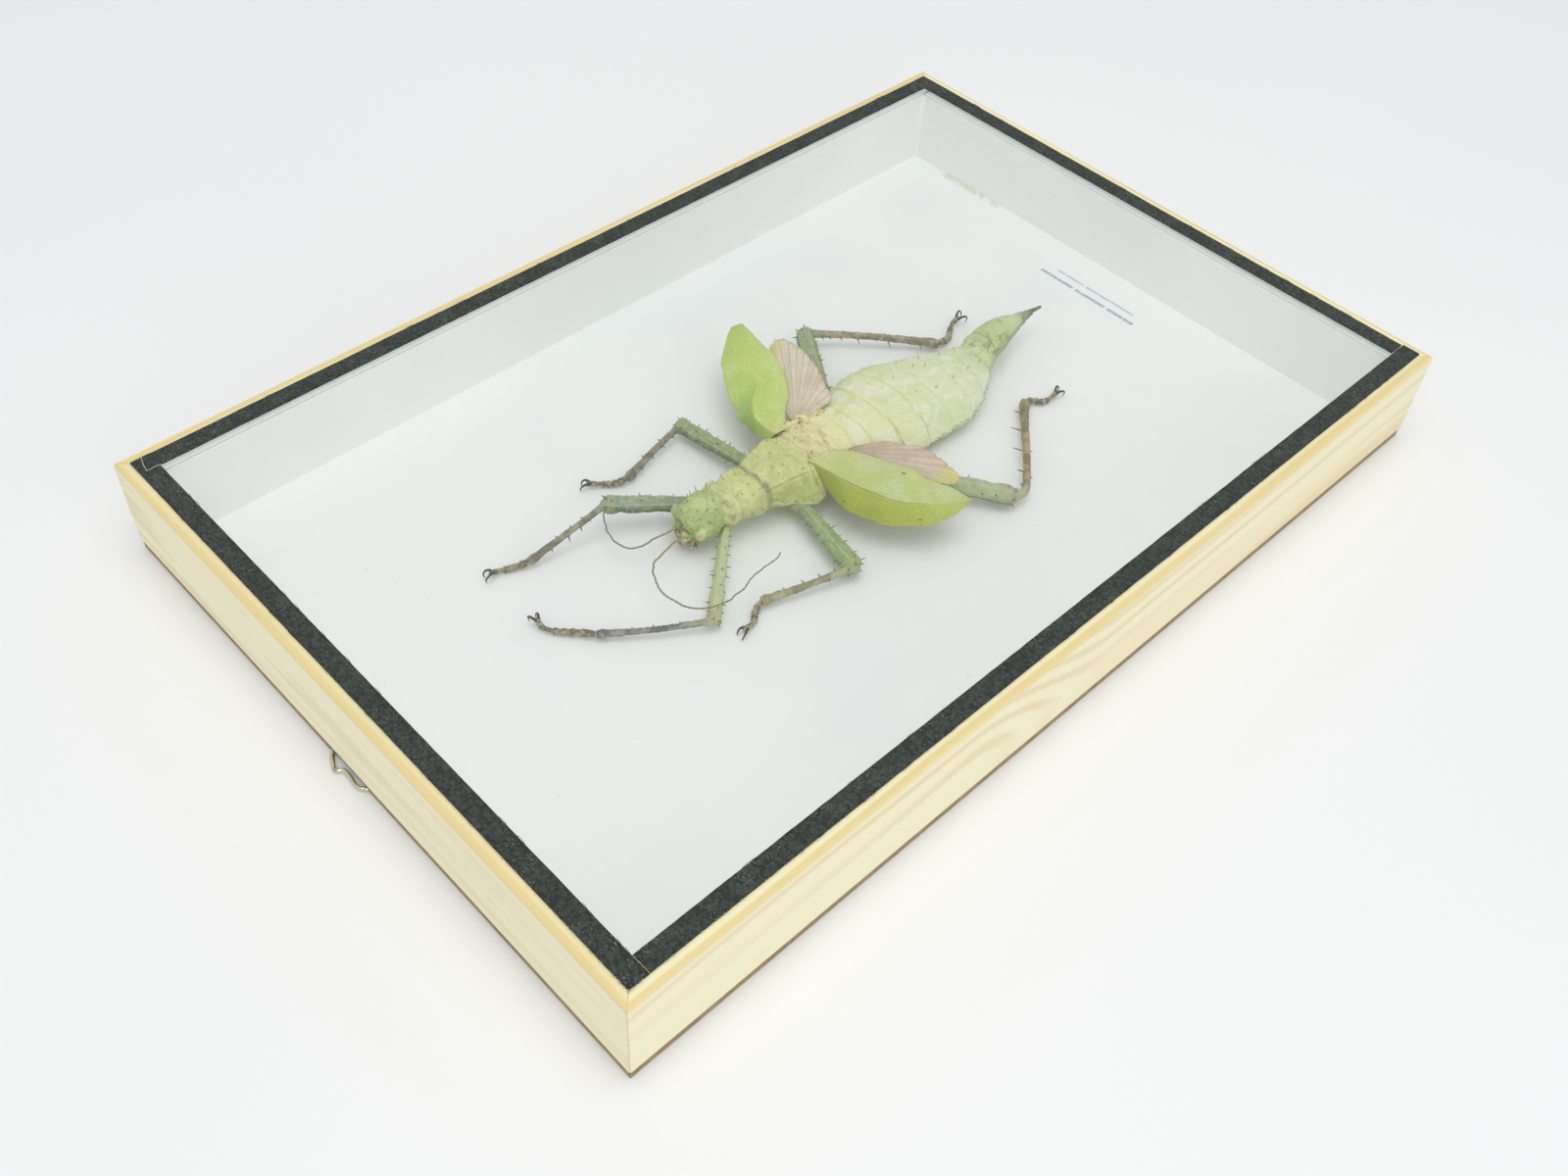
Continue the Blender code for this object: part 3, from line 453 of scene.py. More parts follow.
# %% [markdown]
# ## Making meshes from rows of points
# Tape, wire and every part of the insect are skins stretched over rows of points. `Shells` collects the
# skins of one piece and writes them as a single mesh. Each point can also carry numbers, such as how far
# along the limb it is, which the finishes read.


# %% Points in rows
def steps(count):
    """Even shares from 0 to 1."""
    return np.linspace(0, 1, count)


def placed(points):
    """Points measured in millimetres from the box's middle, as metres in the object's frame."""
    return (np.asarray(points, float) + (0.0, SHIFT_Y, 0.0)) * MM


def through(a, b, c, d, u):
    """The smooth curve from b to c, which also heeds their neighbours a and d, at share u."""
    return 0.5 * (2 * b + (c - a) * u + (2 * a - 5 * b + 4 * c - d) * u ** 2
                  + (3 * b - a - 3 * c + d) * u ** 3)


def smooth_line(points, shares):
    """Points on the smooth curve through a list of points or rows, at shares from 0 to 1."""
    points = np.asarray(points, float)
    last = len(points) - 1
    along = np.clip(np.asarray(shares, float), 0.0, 1.0) * last
    k = np.minimum(along.astype(int), last - 1)
    return through(points[np.maximum(k - 1, 0)], points[k], points[k + 1], points[np.minimum(k + 2, last)],
                   (along - k)[:, None])


def even_line(points, count):
    """Points spaced evenly by length along the smooth curve through a list of points."""
    dense = smooth_line(points, steps(400))
    run = np.concatenate([[0], np.cumsum(np.linalg.norm(np.diff(dense, axis=0), axis=1))])
    goal = np.linspace(0, run[-1], count)
    return np.stack([np.interp(goal, run, dense[:, axis]) for axis in range(dense.shape[1])], axis=1)


def unit(vectors):
    return vectors / np.maximum(np.linalg.norm(vectors, axis=-1, keepdims=True), 1e-12)


def rough(points, size, octaves, seed):
    """Smooth random heights, about -1 to 1, at points in metres; size is the width of a lump in metres."""
    flat = points.reshape(-1, 3) / size + seed
    heights = [noise.fractal(Vector(point), 0.8, 2.0, octaves) for point in flat]
    return np.array(heights).reshape(points.shape[:-1])


def outward(points):
    """Normals of a wrapped skin given as rows of points."""
    along = np.gradient(points, axis=0)
    around = np.roll(points, -1, axis=1) - np.roll(points, 1, axis=1)
    return unit(np.cross(around, along))


def shut(rings):
    """Rings with one more at each end, drawn together into a point."""
    first, last = (np.broadcast_to(ring.mean(0), ring.shape)[None] for ring in (rings[0], rings[-1]))
    return np.concatenate([first, rings, last])


# %% Skins
class Shells:
    """The skins of one piece, with numbers for its finish at every point."""

    def __init__(self, *marks):
        self.points = []
        self.faces = []
        self.marks = {name: [] for name in marks}
        self.count = 0

    def add(self, points, wrap=True, **marks):
        """Adds a skin over rows of points; wrap joins each row's end to its start."""
        rows, columns = points.shape[:2]
        index = np.arange(rows * columns).reshape(rows, columns) + self.count
        here = index if wrap else index[:, :-1]
        beside = np.roll(index, -1, axis=1) if wrap else index[:, 1:]
        quads = np.stack([here[:-1], beside[:-1], beside[1:], here[1:]], axis=-1)
        self.faces.append(quads.reshape(-1, 4))
        self.points.append(points.reshape(-1, 3))
        self.count += rows * columns
        for name, held in self.marks.items():
            held.append(np.broadcast_to(marks.get(name, 0.0), (rows, columns)).ravel())

    def build(self, name, material, slot, *nodes, crisp=False):
        """Writes the mesh, closes its ends, and hands it over as a piece that stands for CAD nodes."""
        mesh = bpy.data.meshes.new(name)
        mesh.from_pydata(np.concatenate(self.points).tolist(), [], np.concatenate(self.faces).tolist())
        for mark_name, held in self.marks.items():
            mesh.attributes.new(mark_name, "FLOAT", "POINT").data.foreach_set("value", np.concatenate(held))
        bm = bmesh.new()
        bm.from_mesh(mesh)
        bmesh.ops.remove_doubles(bm, verts=bm.verts, dist=1e-7)
        bmesh.ops.recalc_face_normals(bm, faces=bm.faces)
        bm.to_mesh(mesh)
        bm.free()
        mesh.shade_smooth()
        if crisp:
            mesh.set_sharp_from_angle(angle=math.radians(40.0))
        mesh.materials.append(material)
        piece = bpy.data.objects.new(name, mesh)
        bpy.context.scene.collection.objects.link(piece)
        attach(piece, "root")
        if nodes:
            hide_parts(*nodes)
        print(name, "has", len(mesh.polygons), "faces")
        return piece


def sweep(line, radii, sides, shape=None, up=(0.0, 0.0, 1.0)):
    """Rings round a line of points, drawn shut at both ends. shape gives each ring's outline, by share of
    the length and by angle, as a factor of its radius; the angle starts at the side and passes the top."""
    line = np.asarray(line, float)
    line = np.concatenate([line[:1], line, line[-1:]])
    radii = np.concatenate([[0.0], radii, [0.0]])
    ahead = unit(np.gradient(line[1:-1], axis=0))
    ahead = np.concatenate([ahead[:1], ahead, ahead[-1:]])
    across = unit(np.cross(ahead, np.broadcast_to(up, ahead.shape)))
    top = np.cross(across, ahead)
    angles = np.linspace(0, 2 * math.pi, sides, endpoint=False)[None, :]
    share = np.linspace(0, 1, len(line) - 2)
    share = np.concatenate([share[:1], share, share[-1:]])[:, None]
    factor = radii[:, None] * (shape(share, angles) if shape else np.ones_like(angles))
    return (line[:, None, :] + factor[..., None] * (np.cos(angles)[..., None] * across[:, None, :]
                                                    + np.sin(angles)[..., None] * top[:, None, :]))


def add_bar(shells, start, end, section):
    """A straight bar from start to end. The section is a list of offsets from both."""
    section = np.asarray(section, float)
    shells.add(shut(np.stack([np.asarray(start, float) + section, np.asarray(end, float) + section])))


# %% [markdown]
# ## Folds, ledges and mitres
# The solid model leaves a hair of air between its pieces. On the real box the card is folded over the
# ledge that the glass rests on, its edges butt softly, and glue fills the mitres. Three small meshes close
# those gaps: ledges under the glass, small sloping fillets along the floor and in the corners, and glue
# lines. The ledges lie in the tape's shadow, so their card is given a weak emission: painted light, a glow
# that lifts them out of that shade though no lamp is there.

# %% Card ledges and folds
FOLD = 0.0008
HAIR = 0.00003
LEDGE_THICKNESS = 0.00024
CARD_THICKNESS = 0.0005
glass_low, glass_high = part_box("glass_pane")
inner = {side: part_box("liner_" + side) for side in ("left", "right", "top", "bottom")}
west, east = inner["left"][1].x, inner["right"][0].x
south, north = inner["bottom"][1].y, inner["top"][0].y
ledge_top = glass_low.z - HAIR
liner_top = inner["left"][1].z
floor_z = card_high.z - HAIR
ledges = Shells()
folds = Shells()
# Walls: the axis across them, the face, the way out of the box and the edge of the glass
WALLS = ((0, west, -1, glass_low.x), (0, east, 1, glass_high.x),
         (1, south, -1, glass_low.y), (1, north, 1, glass_high.y))


def crosswise(axis, across, run, z=0.0):
    """A point given by how far it is across a wall, along it and up."""
    return (across, run, z) if axis == 0 else (run, across, z)


for axis, face, away, edge in WALLS:
    behind = face + away * CARD_THICKNESS
    ends = (glass_low.y, glass_high.y) if axis == 0 else (west, east)
    for bars, start, stop, low_z, high_z in (
            (ledges, behind, edge - away * HAIR, ledge_top - LEDGE_THICKNESS, ledge_top),
            (folds, face, behind, liner_top, ledge_top - HAIR)):
        ring = [(start, low_z), (start, high_z), (stop, high_z), (stop, low_z)]
        add_bar(bars, *(crosswise(axis, 0, end) for end in ends), [crosswise(axis, x, 0, z) for x, z in ring])
# painted light: the ledges' card glows a little to lift it out of the tape's shadow
ledge_card_painted_glow = white_card("card_ledge", Emission_Color=(0.9, 0.95, 0.95), Emission_Strength=0.42)
ledges.build("card_ledges", ledge_card_painted_glow, "white_card", crisp=True)

for axis, face, away, _ in WALLS:
    ends = (south, north) if axis == 0 else (west, east)
    ring = [(away * HAIR, 0), (-away * FOLD, 0), (away * HAIR, FOLD)]
    add_bar(folds, *(crosswise(axis, face, end, floor_z) for end in ends),
            [crosswise(axis, x, 0, z) for x, z in ring])
for x, inward_x in ((west, 1), (east, -1)):
    for y, inward_y in ((south, 1), (north, -1)):
        add_bar(folds, (x, y, floor_z), (x, y, liner_top),
                [(-inward_x * HAIR, -inward_y * HAIR, 0), (inward_x * FOLD, 0, 0), (0, inward_y * FOLD, 0)])
folds.build("card_folds", white_card("card_fold"), "white_card", crisp=True)

# %% Glue in the mitres
GLUE_HALF = 0.00014
HALF_LENGTH = 0.15
# The section of a mitre: how far in from the corner, and height, in millimetres
GLUE_OUTLINE = [(10.4, 2.6), (1.5, 2.6), (0.12, 3.5), (0.12, 29.5), (0.5, 30.15), (1.5, 30.42),
                (5.4, 30.42), (5.4, 27.95), (10.4, 27.95)]
finish = Finish("mitre_glue", Roughness=0.5)
finish.coat(finish.clouds(0.002), (222, 200, 146), under=(238, 224, 178))
mitres = Shells()
for sign_x in (-1, 1):
    for sign_y in (-1, 1):
        corner = np.array([sign_x * CAD_BOX[1].x, SHIFT_Y * MM + sign_y * HALF_LENGTH, 0.0])
        inward_run = np.array([-sign_x, -sign_y, 0.0]) / math.sqrt(2)
        sideways = np.array([sign_y, -sign_x, 0.0]) / math.sqrt(2) * GLUE_HALF
        ring = [inward_run * depth * MM + (0, 0, z * MM) for depth, z in GLUE_OUTLINE]
        add_bar(mitres, corner - sideways, corner + sideways, ring)
mitres.build("mitre_glue", finish.paint(), "pine", crisp=True)

# %% [markdown]
# ## The label slip
# A slip of white paper lies on the card near the foot wall, ruled with two plain lines in blue grey, one
# bolder than the other. Each is broken in a place or two, and noise makes its edges ragged, as in cheap
# printing. The slip of the solid model floats a hair over the card, so a thinner one is laid down here.

# %% Label slip
LABEL_INK = (138, 156, 166)
SLIP_MIDDLE = (1.6, -128.2)
SLIP_SIZE = (43.0, 11.0)
SLIP_THICKNESS = 0.00008
# Rules, in millimetres: height on the slip, start, end, half-width, strength of the ink, and breaks
RULES = ((-125.75, -17.5, 20.6, 0.85, 0.8, (-6.4, 6.6)), (-129.6, -14.6, 16.7, 0.7, 0.55, (5.2,)))

finish = Finish("label_paper", Roughness=0.8)
finish.coat(finish.clouds(0.001), (237, 240, 240), under=(242, 244, 243))
across_slip = finish.at(0) / MM
up_slip = finish.at(1) / MM - SHIFT_Y
ragged = finish.clouds(0.0008, detail=2.0, stretch=(1.0, 0.5, 0.0))
for rule_y, start, end, half, ink, breaks in RULES:
    row = (abs(up_slip - rule_y) + ragged * 0.6 - 0.3).eased(half, half * 0.4)
    inside = across_slip.eased(start, start + 0.5) * across_slip.eased(end, end - 0.5)
    for middle in breaks:
        inside = inside * (1 - across_slip.near(middle, 0.9))
    finish.coat(row * inside * ragged.eased(0.7, 0.45, 0.55, 1.0) * ink, LABEL_INK)
LABEL_PAPER = finish.paint(relief=(finish.clouds(0.0006), 0.00002))

slip = Shells()
half_x, half_y = SLIP_SIZE[0] / 2 * MM, SLIP_SIZE[1] / 2 * MM
slip_place = placed((*SLIP_MIDDLE, 0.0)) + (0, 0, card_high.z)
add_bar(slip, slip_place - (half_x, 0, 0), slip_place + (half_x, 0, 0),
        [(0, -half_y, 0.0), (0, -half_y, SLIP_THICKNESS), (0, half_y, SLIP_THICKNESS), (0, half_y, 0.0)])
slip.build("label", LABEL_PAPER, "paper", "label_slip", crisp=True)

# %% [markdown]
# ## The wire loop
# A bent wire with a notch in the middle of its bow stands out from under the near short side. A curve with
# a bevel would do, but the skin helper above already draws a tube, so the wire's own bends are listed here
# in millimetres: across the frame, out from its edge, and up into the rail.

# %% Hanging loop
WIRE = 1.1
LOOP_HALF = 7.0
LOOP_CENTRE_X = 3.1
LOOP_TURN = math.radians(-7.0)
LOOP_POINTS = 190
PRONG_IN = 3.4
PRONG_TOP = 7.6
WIRE_LOW = WIRE / 2 + 0.05

# The bow in the open: a high lobe, a notch, then a long low lobe, from the box's middle
BOW = [(9.6, 150.3), (7.6, 151.5), (5.8, 152.3), (4.8, 152.0), (4.2, 151.1), (3.2, 150.75), (0.8, 150.9),
       (-1.1, 151.2), (-2.8, 150.9), (-3.8, 150.1)]
twist = np.array([[math.cos(LOOP_TURN), -math.sin(LOOP_TURN)], [math.sin(LOOP_TURN), math.cos(LOOP_TURN)]])
loop_middle = (LOOP_CENTRE_X, board_high.y / MM - SHIFT_Y + 0.3)
prongs = [np.array((side * LOOP_HALF, -PRONG_IN)) @ twist.T + loop_middle for side in (1, -1)]
down, up = [(*prong, 0.0) + np.array([(0, 0, PRONG_TOP), (0, 0, WIRE_LOW + 2.0), (0, 0, WIRE_LOW + 0.8),
                                      (0, 0.5, WIRE_LOW), (0, 2.2, WIRE_LOW)]) for prong in prongs]
route = np.concatenate([down, [(x, y, WIRE_LOW) for x, y in BOW], up[::-1]])
loop = Shells()
loop.add(sweep(smooth_line(placed(route), steps(LOOP_POINTS)), np.full(LOOP_POINTS, WIRE / 2 * MM), sides=20,
               up=(0.3, 0.05, 1.0)))
loop.build("wire_loop", LOOP_STEEL, "steel", "hanging_loop")

# %% [markdown]
# ## Black cloth tape
# Bookbinding cloth seals the glass to the wood: a tight black weave with pale flecks where the filling
# shows, and edges that were cut with a knife and have frayed a little. Each strip is a thin skin whose
# edges wander by a tenth of a millimetre, with loose threads lying along them.

# %% Tape finish
TAPE_BLACK = (30, 37, 33)
TAPE_WORN = (88, 97, 88)
FLECK = (182, 188, 178)
THREAD_PITCH = 0.00046

finish = Finish("black_cloth", Roughness=0.72)
warp_threads, weft_threads = ((finish.at(axis) * (2 * math.pi / THREAD_PITCH)).sine() for axis in (0, 1))
worn = finish.clouds(0.006).eased(0.45, 0.75)
bare = finish.clouds(0.0005, detail=1.0).eased(0.62, 0.72)
flecks = bare * finish.clouds(0.011, detail=2.0).eased(0.42, 0.62)
fuzz = finish.clouds(0.0009, roughness=0.8)
finish.coat(fuzz.eased(0.36, 0.66) * 0.55 + worn * 0.2, TAPE_WORN, under=TAPE_BLACK)
finish.coat(flecks * 0.5, FLECK)
BLACK_CLOTH = finish.paint(relief=(warp_threads * weft_threads, 0.00007))

finish = Finish("frayed_thread", Roughness=0.8)
finish.coat(finish.clouds(0.0008), (108, 112, 104), under=TAPE_BLACK)
THREAD = finish.paint()
print("the tape's finishes are", BLACK_CLOTH.name, "and", THREAD.name)

# %% Tape strips
TAPE_ROUGH = 0.00006
TAPE_ROWS = 9
ROW_PITCH = 0.0009
BUTT = 0.00029
OVERLAP = 0.0040
rng = np.random.default_rng(11)
top_strip_low, top_strip_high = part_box("tape_top")


def tape_strip(side, along):
    """A cloth strip in its CAD node's box, with wandering edges; the right one ends in a crooked cut."""
    low, high = (np.array(corner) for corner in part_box("tape_" + side))
    cross = 1 - along
    count = int((high[along] - low[along]) / ROW_PITCH)
    spots = np.zeros((TAPE_ROWS, count, 3))
    across = steps(TAPE_ROWS)[:, None]
    if along == 1:
        low[1] -= BUTT
        high[1] += BUTT if side == "left" else 0.0
    start = np.full_like(across, low[along])
    end = np.full_like(across, high[along])
    if side == "right":
        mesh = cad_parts["tape_right"].data
        outer_end = max(v.co.y for v in mesh.vertices if v.co.x > high[0] - 0.0001)
        end = end + OVERLAP + (outer_end - high[1]) * across
    spots[..., along] = start + (end - start) * steps(count)[None, :]
    spots[..., cross] = low[cross] + (high[cross] - low[cross]) * across
    wander = rough(spots, 0.004, 4, 3.7) * TAPE_ROUGH
    at_edge = (across < 0.01) | (across > 0.99)
    spots[..., cross] += np.where(at_edge, wander, 0.0) - np.sign(across - 0.5) * 5e-5
    swell = rough(spots, 0.02, 2, 9.1) * 0.00005
    lie = low[2] + 0.00006 + np.clip(swell, -0.00004, 0.00009)
    spots[..., 2] = lie + 0.00013 * np.sin(math.pi * np.clip(across, 0.05, 0.95)) ** 0.25
    under = spots.copy()
    under[..., 2] = low[2] - 0.00018
    if side == "right":
        # its end climbs on the top strip
        step = np.clip((spots[..., 1] - top_strip_low.y + 0.0004) / 0.0006, 0, 1)
        spots[..., 2] += 0.00012 * step
        under[..., 2] += 0.0003 * step
    strip = Shells()
    strip.add(shut(np.concatenate([spots, under[::-1]]).transpose(1, 0, 2)))
    strip.build("cloth_" + side, BLACK_CLOTH, "cloth_tape", "tape_" + side)
    return low, high


def frayed_threads(low, high, along, threads):
    """Loose threads lying along a strip's two edges."""
    cross = 1 - along
    for _ in range(int((high[along] - low[along]) / 0.011)):
        edge, inward = ((low[cross], 1), (high[cross], -1))[rng.integers(2)]
        length = rng.uniform(0.0015, 0.0045)
        start = rng.uniform(low[along] + 0.002, high[along] - 0.008)
        points = np.zeros((9, 3))
        share = steps(9)
        points[:, along] = start + share * length
        bow = np.sin(share * math.pi * rng.uniform(0.4, 1.0))
        points[:, cross] = edge + inward * (0.0002 - 0.00035 * bow)
        points[:, 2] = low[2] + 0.0001 + 0.00008 * share
        threads.add(sweep(points, np.full(9, 0.00005), sides=5))


threads = Shells()
for side, along in (("top", 0), ("bottom", 0), ("left", 1), ("right", 1)):
    frayed_threads(*tape_strip(side, along), along, threads)
threads.build("tape_threads", THREAD, "cloth_tape")

# %% [markdown]
# Where two strips meet, the cut end of the upper one shows its pale filling as a crooked line. Pale tufts
# also stick out along the outer edges, most of them near the front corner.

# %% Cut ends and pale tufts
TUFTS = 110
finish = Finish("pale_filling", Roughness=0.85)
finish.coat(finish.clouds(0.0006), (142, 144, 126), under=(212, 208, 184))
pale = Shells()
strip_top = top_strip_high.z + 0.00002
left_low, left_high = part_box("tape_left")
right_low, right_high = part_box("tape_right")
# Cut ends: start, end and thickness of the pale line
CUT_ENDS = [((left_low.x, left_high.y + BUTT), (left_high.x, left_high.y + BUTT), 0.00009),
            ((left_low.x, left_low.y - BUTT), (left_high.x, left_low.y - BUTT), 0.00006),
            ((right_low.x, right_low.y - BUTT), (right_high.x, right_low.y - BUTT), 0.00005),
            ((right_low.x, right_high.y + OVERLAP), (right_high.x, right_high.y + OVERLAP - 0.0013),
             0.00014),
            ((right_low.x, right_high.y + 0.0002), (right_low.x, right_high.y + OVERLAP), 0.00012)]
for start, end, thick in CUT_ENDS:
    share = steps(26)[:, None]
    line = np.array([*start, strip_top]) * (1 - share) + np.array([*end, strip_top]) * share
    line[:, :2] += rough(line, 0.0012, 3, 71.0)[:, None] * 0.00016
    pale.add(sweep(line, thick * (0.7 + 0.4 * rng.random(26)), sides=6))
front = np.array([top_strip_low.x, top_strip_high.y])
for run, outward_axis, away in (((1.0, 0.0), 1, 1), ((0.0, -1.0), 0, -1)):
    run = np.array(run)
    for _ in range(TUFTS):
        root = front + run * 0.11 * rng.random() ** 1.7
        lean = run * rng.uniform(-1, 1) * 0.0005
        lean[outward_axis] += away * 0.00022 * rng.uniform(0.2, 1.2)
        tuft = np.array([[*root, strip_top - 0.0002], [*(root + lean * 0.5), strip_top - 0.00008],
                         [*(root + lean), strip_top - 0.0002]])
        pale.add(sweep(tuft, np.array([0.00006, 0.00008, 0.00005]), sides=5))
pale.build("tape_filling", finish.paint(), "cloth_tape")

# %% [markdown]
# ## The insect's measures
# The animal's skeleton is a few tables in millimetres from the middle of the box: stations along the
# trunk, joints of the legs, and the edges of the wings. The plain solid model was made from the same
# stations and joints, so the fine skins below fall on it.

# %% Trunk table
# Trunk stations: y, centre x, belly height, margin half-width and height, shoulder half-width and height,
# ridge height
TRUNK = [
    (36.5, 1.5, 11.0, 4.2, 13.8, 3.2, 15.6, 16.6),
    (34.6, 1.4, 9.4, 6.2, 13.2, 4.8, 17.4, 18.7),
    (32.8, 1.2, 8.8, 6.8, 13.2, 5.5, 17.7, 18.8),
    (31.2, 1.1, 8.6, 6.5, 13.2, 5.2, 17.2, 18.3),
    (27.5, 0.9, 8.4, 7.1, 13.2, 5.6, 18.0, 19.4),
    (24.0, 0.6, 8.0, 7.4, 13.2, 5.9, 17.8, 19.2),
    (22.4, 0.4, 8.0, 6.6, 13.0, 5.2, 16.8, 18.0),
    (21.2, 0.3, 7.8, 7.6, 13.2, 6.4, 18.0, 19.0),
    (17.0, 0.1, 7.0, 9.2, 11.8, 7.2, 18.8, 19.8),
    (11.0, 0.0, 6.4, 12.6, 11.0, 8.4, 19.0, 20.0),
    (6.5, 0.3, 6.2, 12.4, 11.4, 8.2, 17.2, 18.7),
    (3.0, 0.8, 6.0, 11.6, 12.2, 8.0, 16.6, 17.7),
    (-4.0, 1.0, 5.6, 11.2, 11.8, 7.4, 16.2, 17.3),
    (-12.0, 1.1, 5.0, 13.0, 10.6, 8.2, 15.7, 17.0),
    (-20.0, 1.3, 4.6, 15.8, 9.6, 9.4, 15.2, 16.8),
    (-28.0, 1.5, 4.1, 17.4, 9.2, 10.4, 15.0, 16.8),
    (-38.0, 1.7, 4.1, 17.7, 9.2, 10.4, 15.0, 16.8),
    (-47.0, -0.3, 4.6, 15.9, 9.4, 9.4, 14.8, 16.4),
    (-55.0, -1.2, 5.2, 13.0, 9.8, 7.6, 14.6, 16.0),
    (-62.5, -1.1, 6.0, 9.2, 10.4, 5.4, 14.0, 15.1),
    (-68.0, -0.4, 6.8, 6.0, 11.2, 4.0, 13.2, 14.1),
    (-72.3, 0.6, 7.4, 5.8, 12.6, 4.0, 15.6, 16.5),
    (-79.0, 1.4, 8.2, 5.2, 13.0, 3.3, 16.0, 17.0),
    (-85.0, 1.5, 9.2, 3.4, 13.2, 2.2, 15.4, 16.2),
    (-90.0, 1.4, 10.4, 1.8, 13.2, 1.2, 14.6, 15.2),
    (-94.0, 1.3, 12.2, 0.8, 13.4, 0.6, 14.2, 14.5),
    (-99.5, 1.0, 12.6, 0.4, 13.2, 0.3, 13.5, 13.7),
]
print("the trunk has", len(TRUNK), "stations")

# %% Leg table
# Legs: half-width of the thigh and of the shin, how slim the thigh starts, hip, knee, the shin's bends and
# its end, and the foot's points
LEGS = {
    "front_far": (2.5, 0.98, 0.62, (5.6, 31.0, 10.0), (20.6, 56.2, 14.6),
                  [(22.6, 68.5, 10.3), (24.2, 80.1, 6.2)],
                  [(25.6, 82.8, 5.4), (27.2, 86.4, 5.2), (27.7, 89.2, 5.8)]),
    "front_near": (1.9, 0.9, 0.52, (-0.3, 32.4, 9.8), (-23.4, 57.8, 7.6),
                   [(-15.6, 70.9, 7.0), (-6.6, 82.4, 6.0)],
                   [(-2.4, 85.4, 5.5), (1.4, 88.9, 5.3), (4.4, 90.9, 5.5), (6.6, 90.9, 6.2)]),
    "mid_far": (2.35, 1.05, 0.75, (8.0, 13.8, 10.0), (36.4, 16.4, 8.0),
                [(34.4, 28.3, 7.2), (31.7, 40.2, 6.0)],
                [(32.6, 43.4, 5.5), (35.2, 46.9, 5.3), (36.9, 49.4, 5.7)]),
    "mid_near": (2.75, 1.1, 0.52, (-8.0, 13.6, 9.4), (-34.4, 18.6, 8.4),
                 [(-31.0, 30.6, 7.6), (-26.0, 43.6, 6.2)],
                 [(-26.8, 46.4, 5.6), (-29.2, 49.4, 5.4), (-29.7, 52.3, 5.4)]),
    "hind_far": (2.8, 1.18, 0.8, (8.5, -15.5, 9.8), (42.2, -38.0, 9.0),
                 [(28.9, -53.6, 8.3), (14.5, -68.6, 6.5)],
                 [(14.9, -73.4, 5.6), (17.4, -77.4, 5.4), (19.0, -80.6, 5.8), (19.0, -82.4, 6.2)]),
    "hind_near": (2.8, 1.2, 0.85, (-8.0, -7.0, 10.4), (-44.6, -33.6, 8.2),
                  [(-45.7, -38.0, 8.0), (-43.0, -42.4, 7.7), (-36.6, -50.2, 7.2), (-27.0, -60.8, 6.6),
                   (-20.3, -68.6, 6.2)],
                  [(-20.6, -71.4, 5.5), (-23.4, -74.4, 5.4), (-23.7, -79.2, 6.0)]),
}
print("the legs are", ", ".join(LEGS))

# %% Wings, antennae and head
# Fore wings: rear edge, keel and front edge, each from root to tip
FORE_WINGS = {
    "near": ([(-4.3, 4.9, 18.2), (-4.6, 2.6, 18.0), (-5.2, 0.2, 17.8), (-7.2, -2.8, 17.8),
              (-11.2, -5.7, 17.9), (-17.8, -8.1, 18.4), (-23.8, -10.9, 18.7), (-27.0, -11.8, 18.8),
              (-31.6, -11.9, 18.7), (-38.2, -14.8, 18.4), (-41.0, -15.3, 18.1), (-43.6, -16.2, 17.8)],
             [(-5.2, 7.4, 18.6), (-8.6, 6.6, 18.8), (-13.4, 6.5, 19.3), (-18.2, 6.5, 20.2),
              (-26.5, 4.8, 20.9), (-33.0, 2.0, 20.7), (-38.0, -4.0, 19.7), (-41.0, -9.4, 18.8),
              (-44.2, -16.1, 17.8)],
             [(-5.6, 8.0, 17.8), (-7.0, 7.6, 16.2), (-9.8, 7.3, 14.7), (-14.0, 7.8, 13.8),
              (-18.2, 8.6, 13.4), (-22.0, 8.9, 13.1), (-26.2, 7.2, 13.0), (-28.8, 6.2, 13.1),
              (-31.9, 5.2, 13.2), (-37.1, 1.1, 13.9), (-41.3, -2.7, 14.9), (-43.5, -8.7, 16.0),
              (-44.2, -15.9, 17.6)]),
    "far": ([(9.4, 0.6, 16.6), (12.4, -0.9, 16.8), (15.9, -4.5, 17.2), (17.9, -7.3, 17.9),
             (22.7, -10.7, 19.4), (29.3, -13.4, 21.0), (32.6, -13.8, 21.5), (37.0, -14.0, 22.0),
             (43.2, -15.1, 22.2), (46.3, -15.4, 22.2)],
            [(9.8, 5.4, 16.8), (13.2, 6.2, 17.3), (19.0, 7.1, 19.0), (22.9, 6.5, 20.8), (28.6, 4.3, 22.0),
             (34.9, -0.7, 22.8), (39.9, -5.1, 23.0), (44.7, -10.8, 22.8), (47.3, -14.2, 22.2)],
            [(9.8, 7.6, 15.8), (12.4, 7.8, 15.2), (15.6, 7.9, 14.6), (19.3, 7.1, 14.3), (23.4, 6.9, 14.4),
             (25.3, 5.2, 14.7), (29.5, 4.3, 15.1), (33.6, 2.0, 15.7), (38.8, -1.4, 16.3),
             (42.3, -4.0, 17.0), (46.7, -10.2, 19.7), (47.7, -12.8, 21.5)]),
}
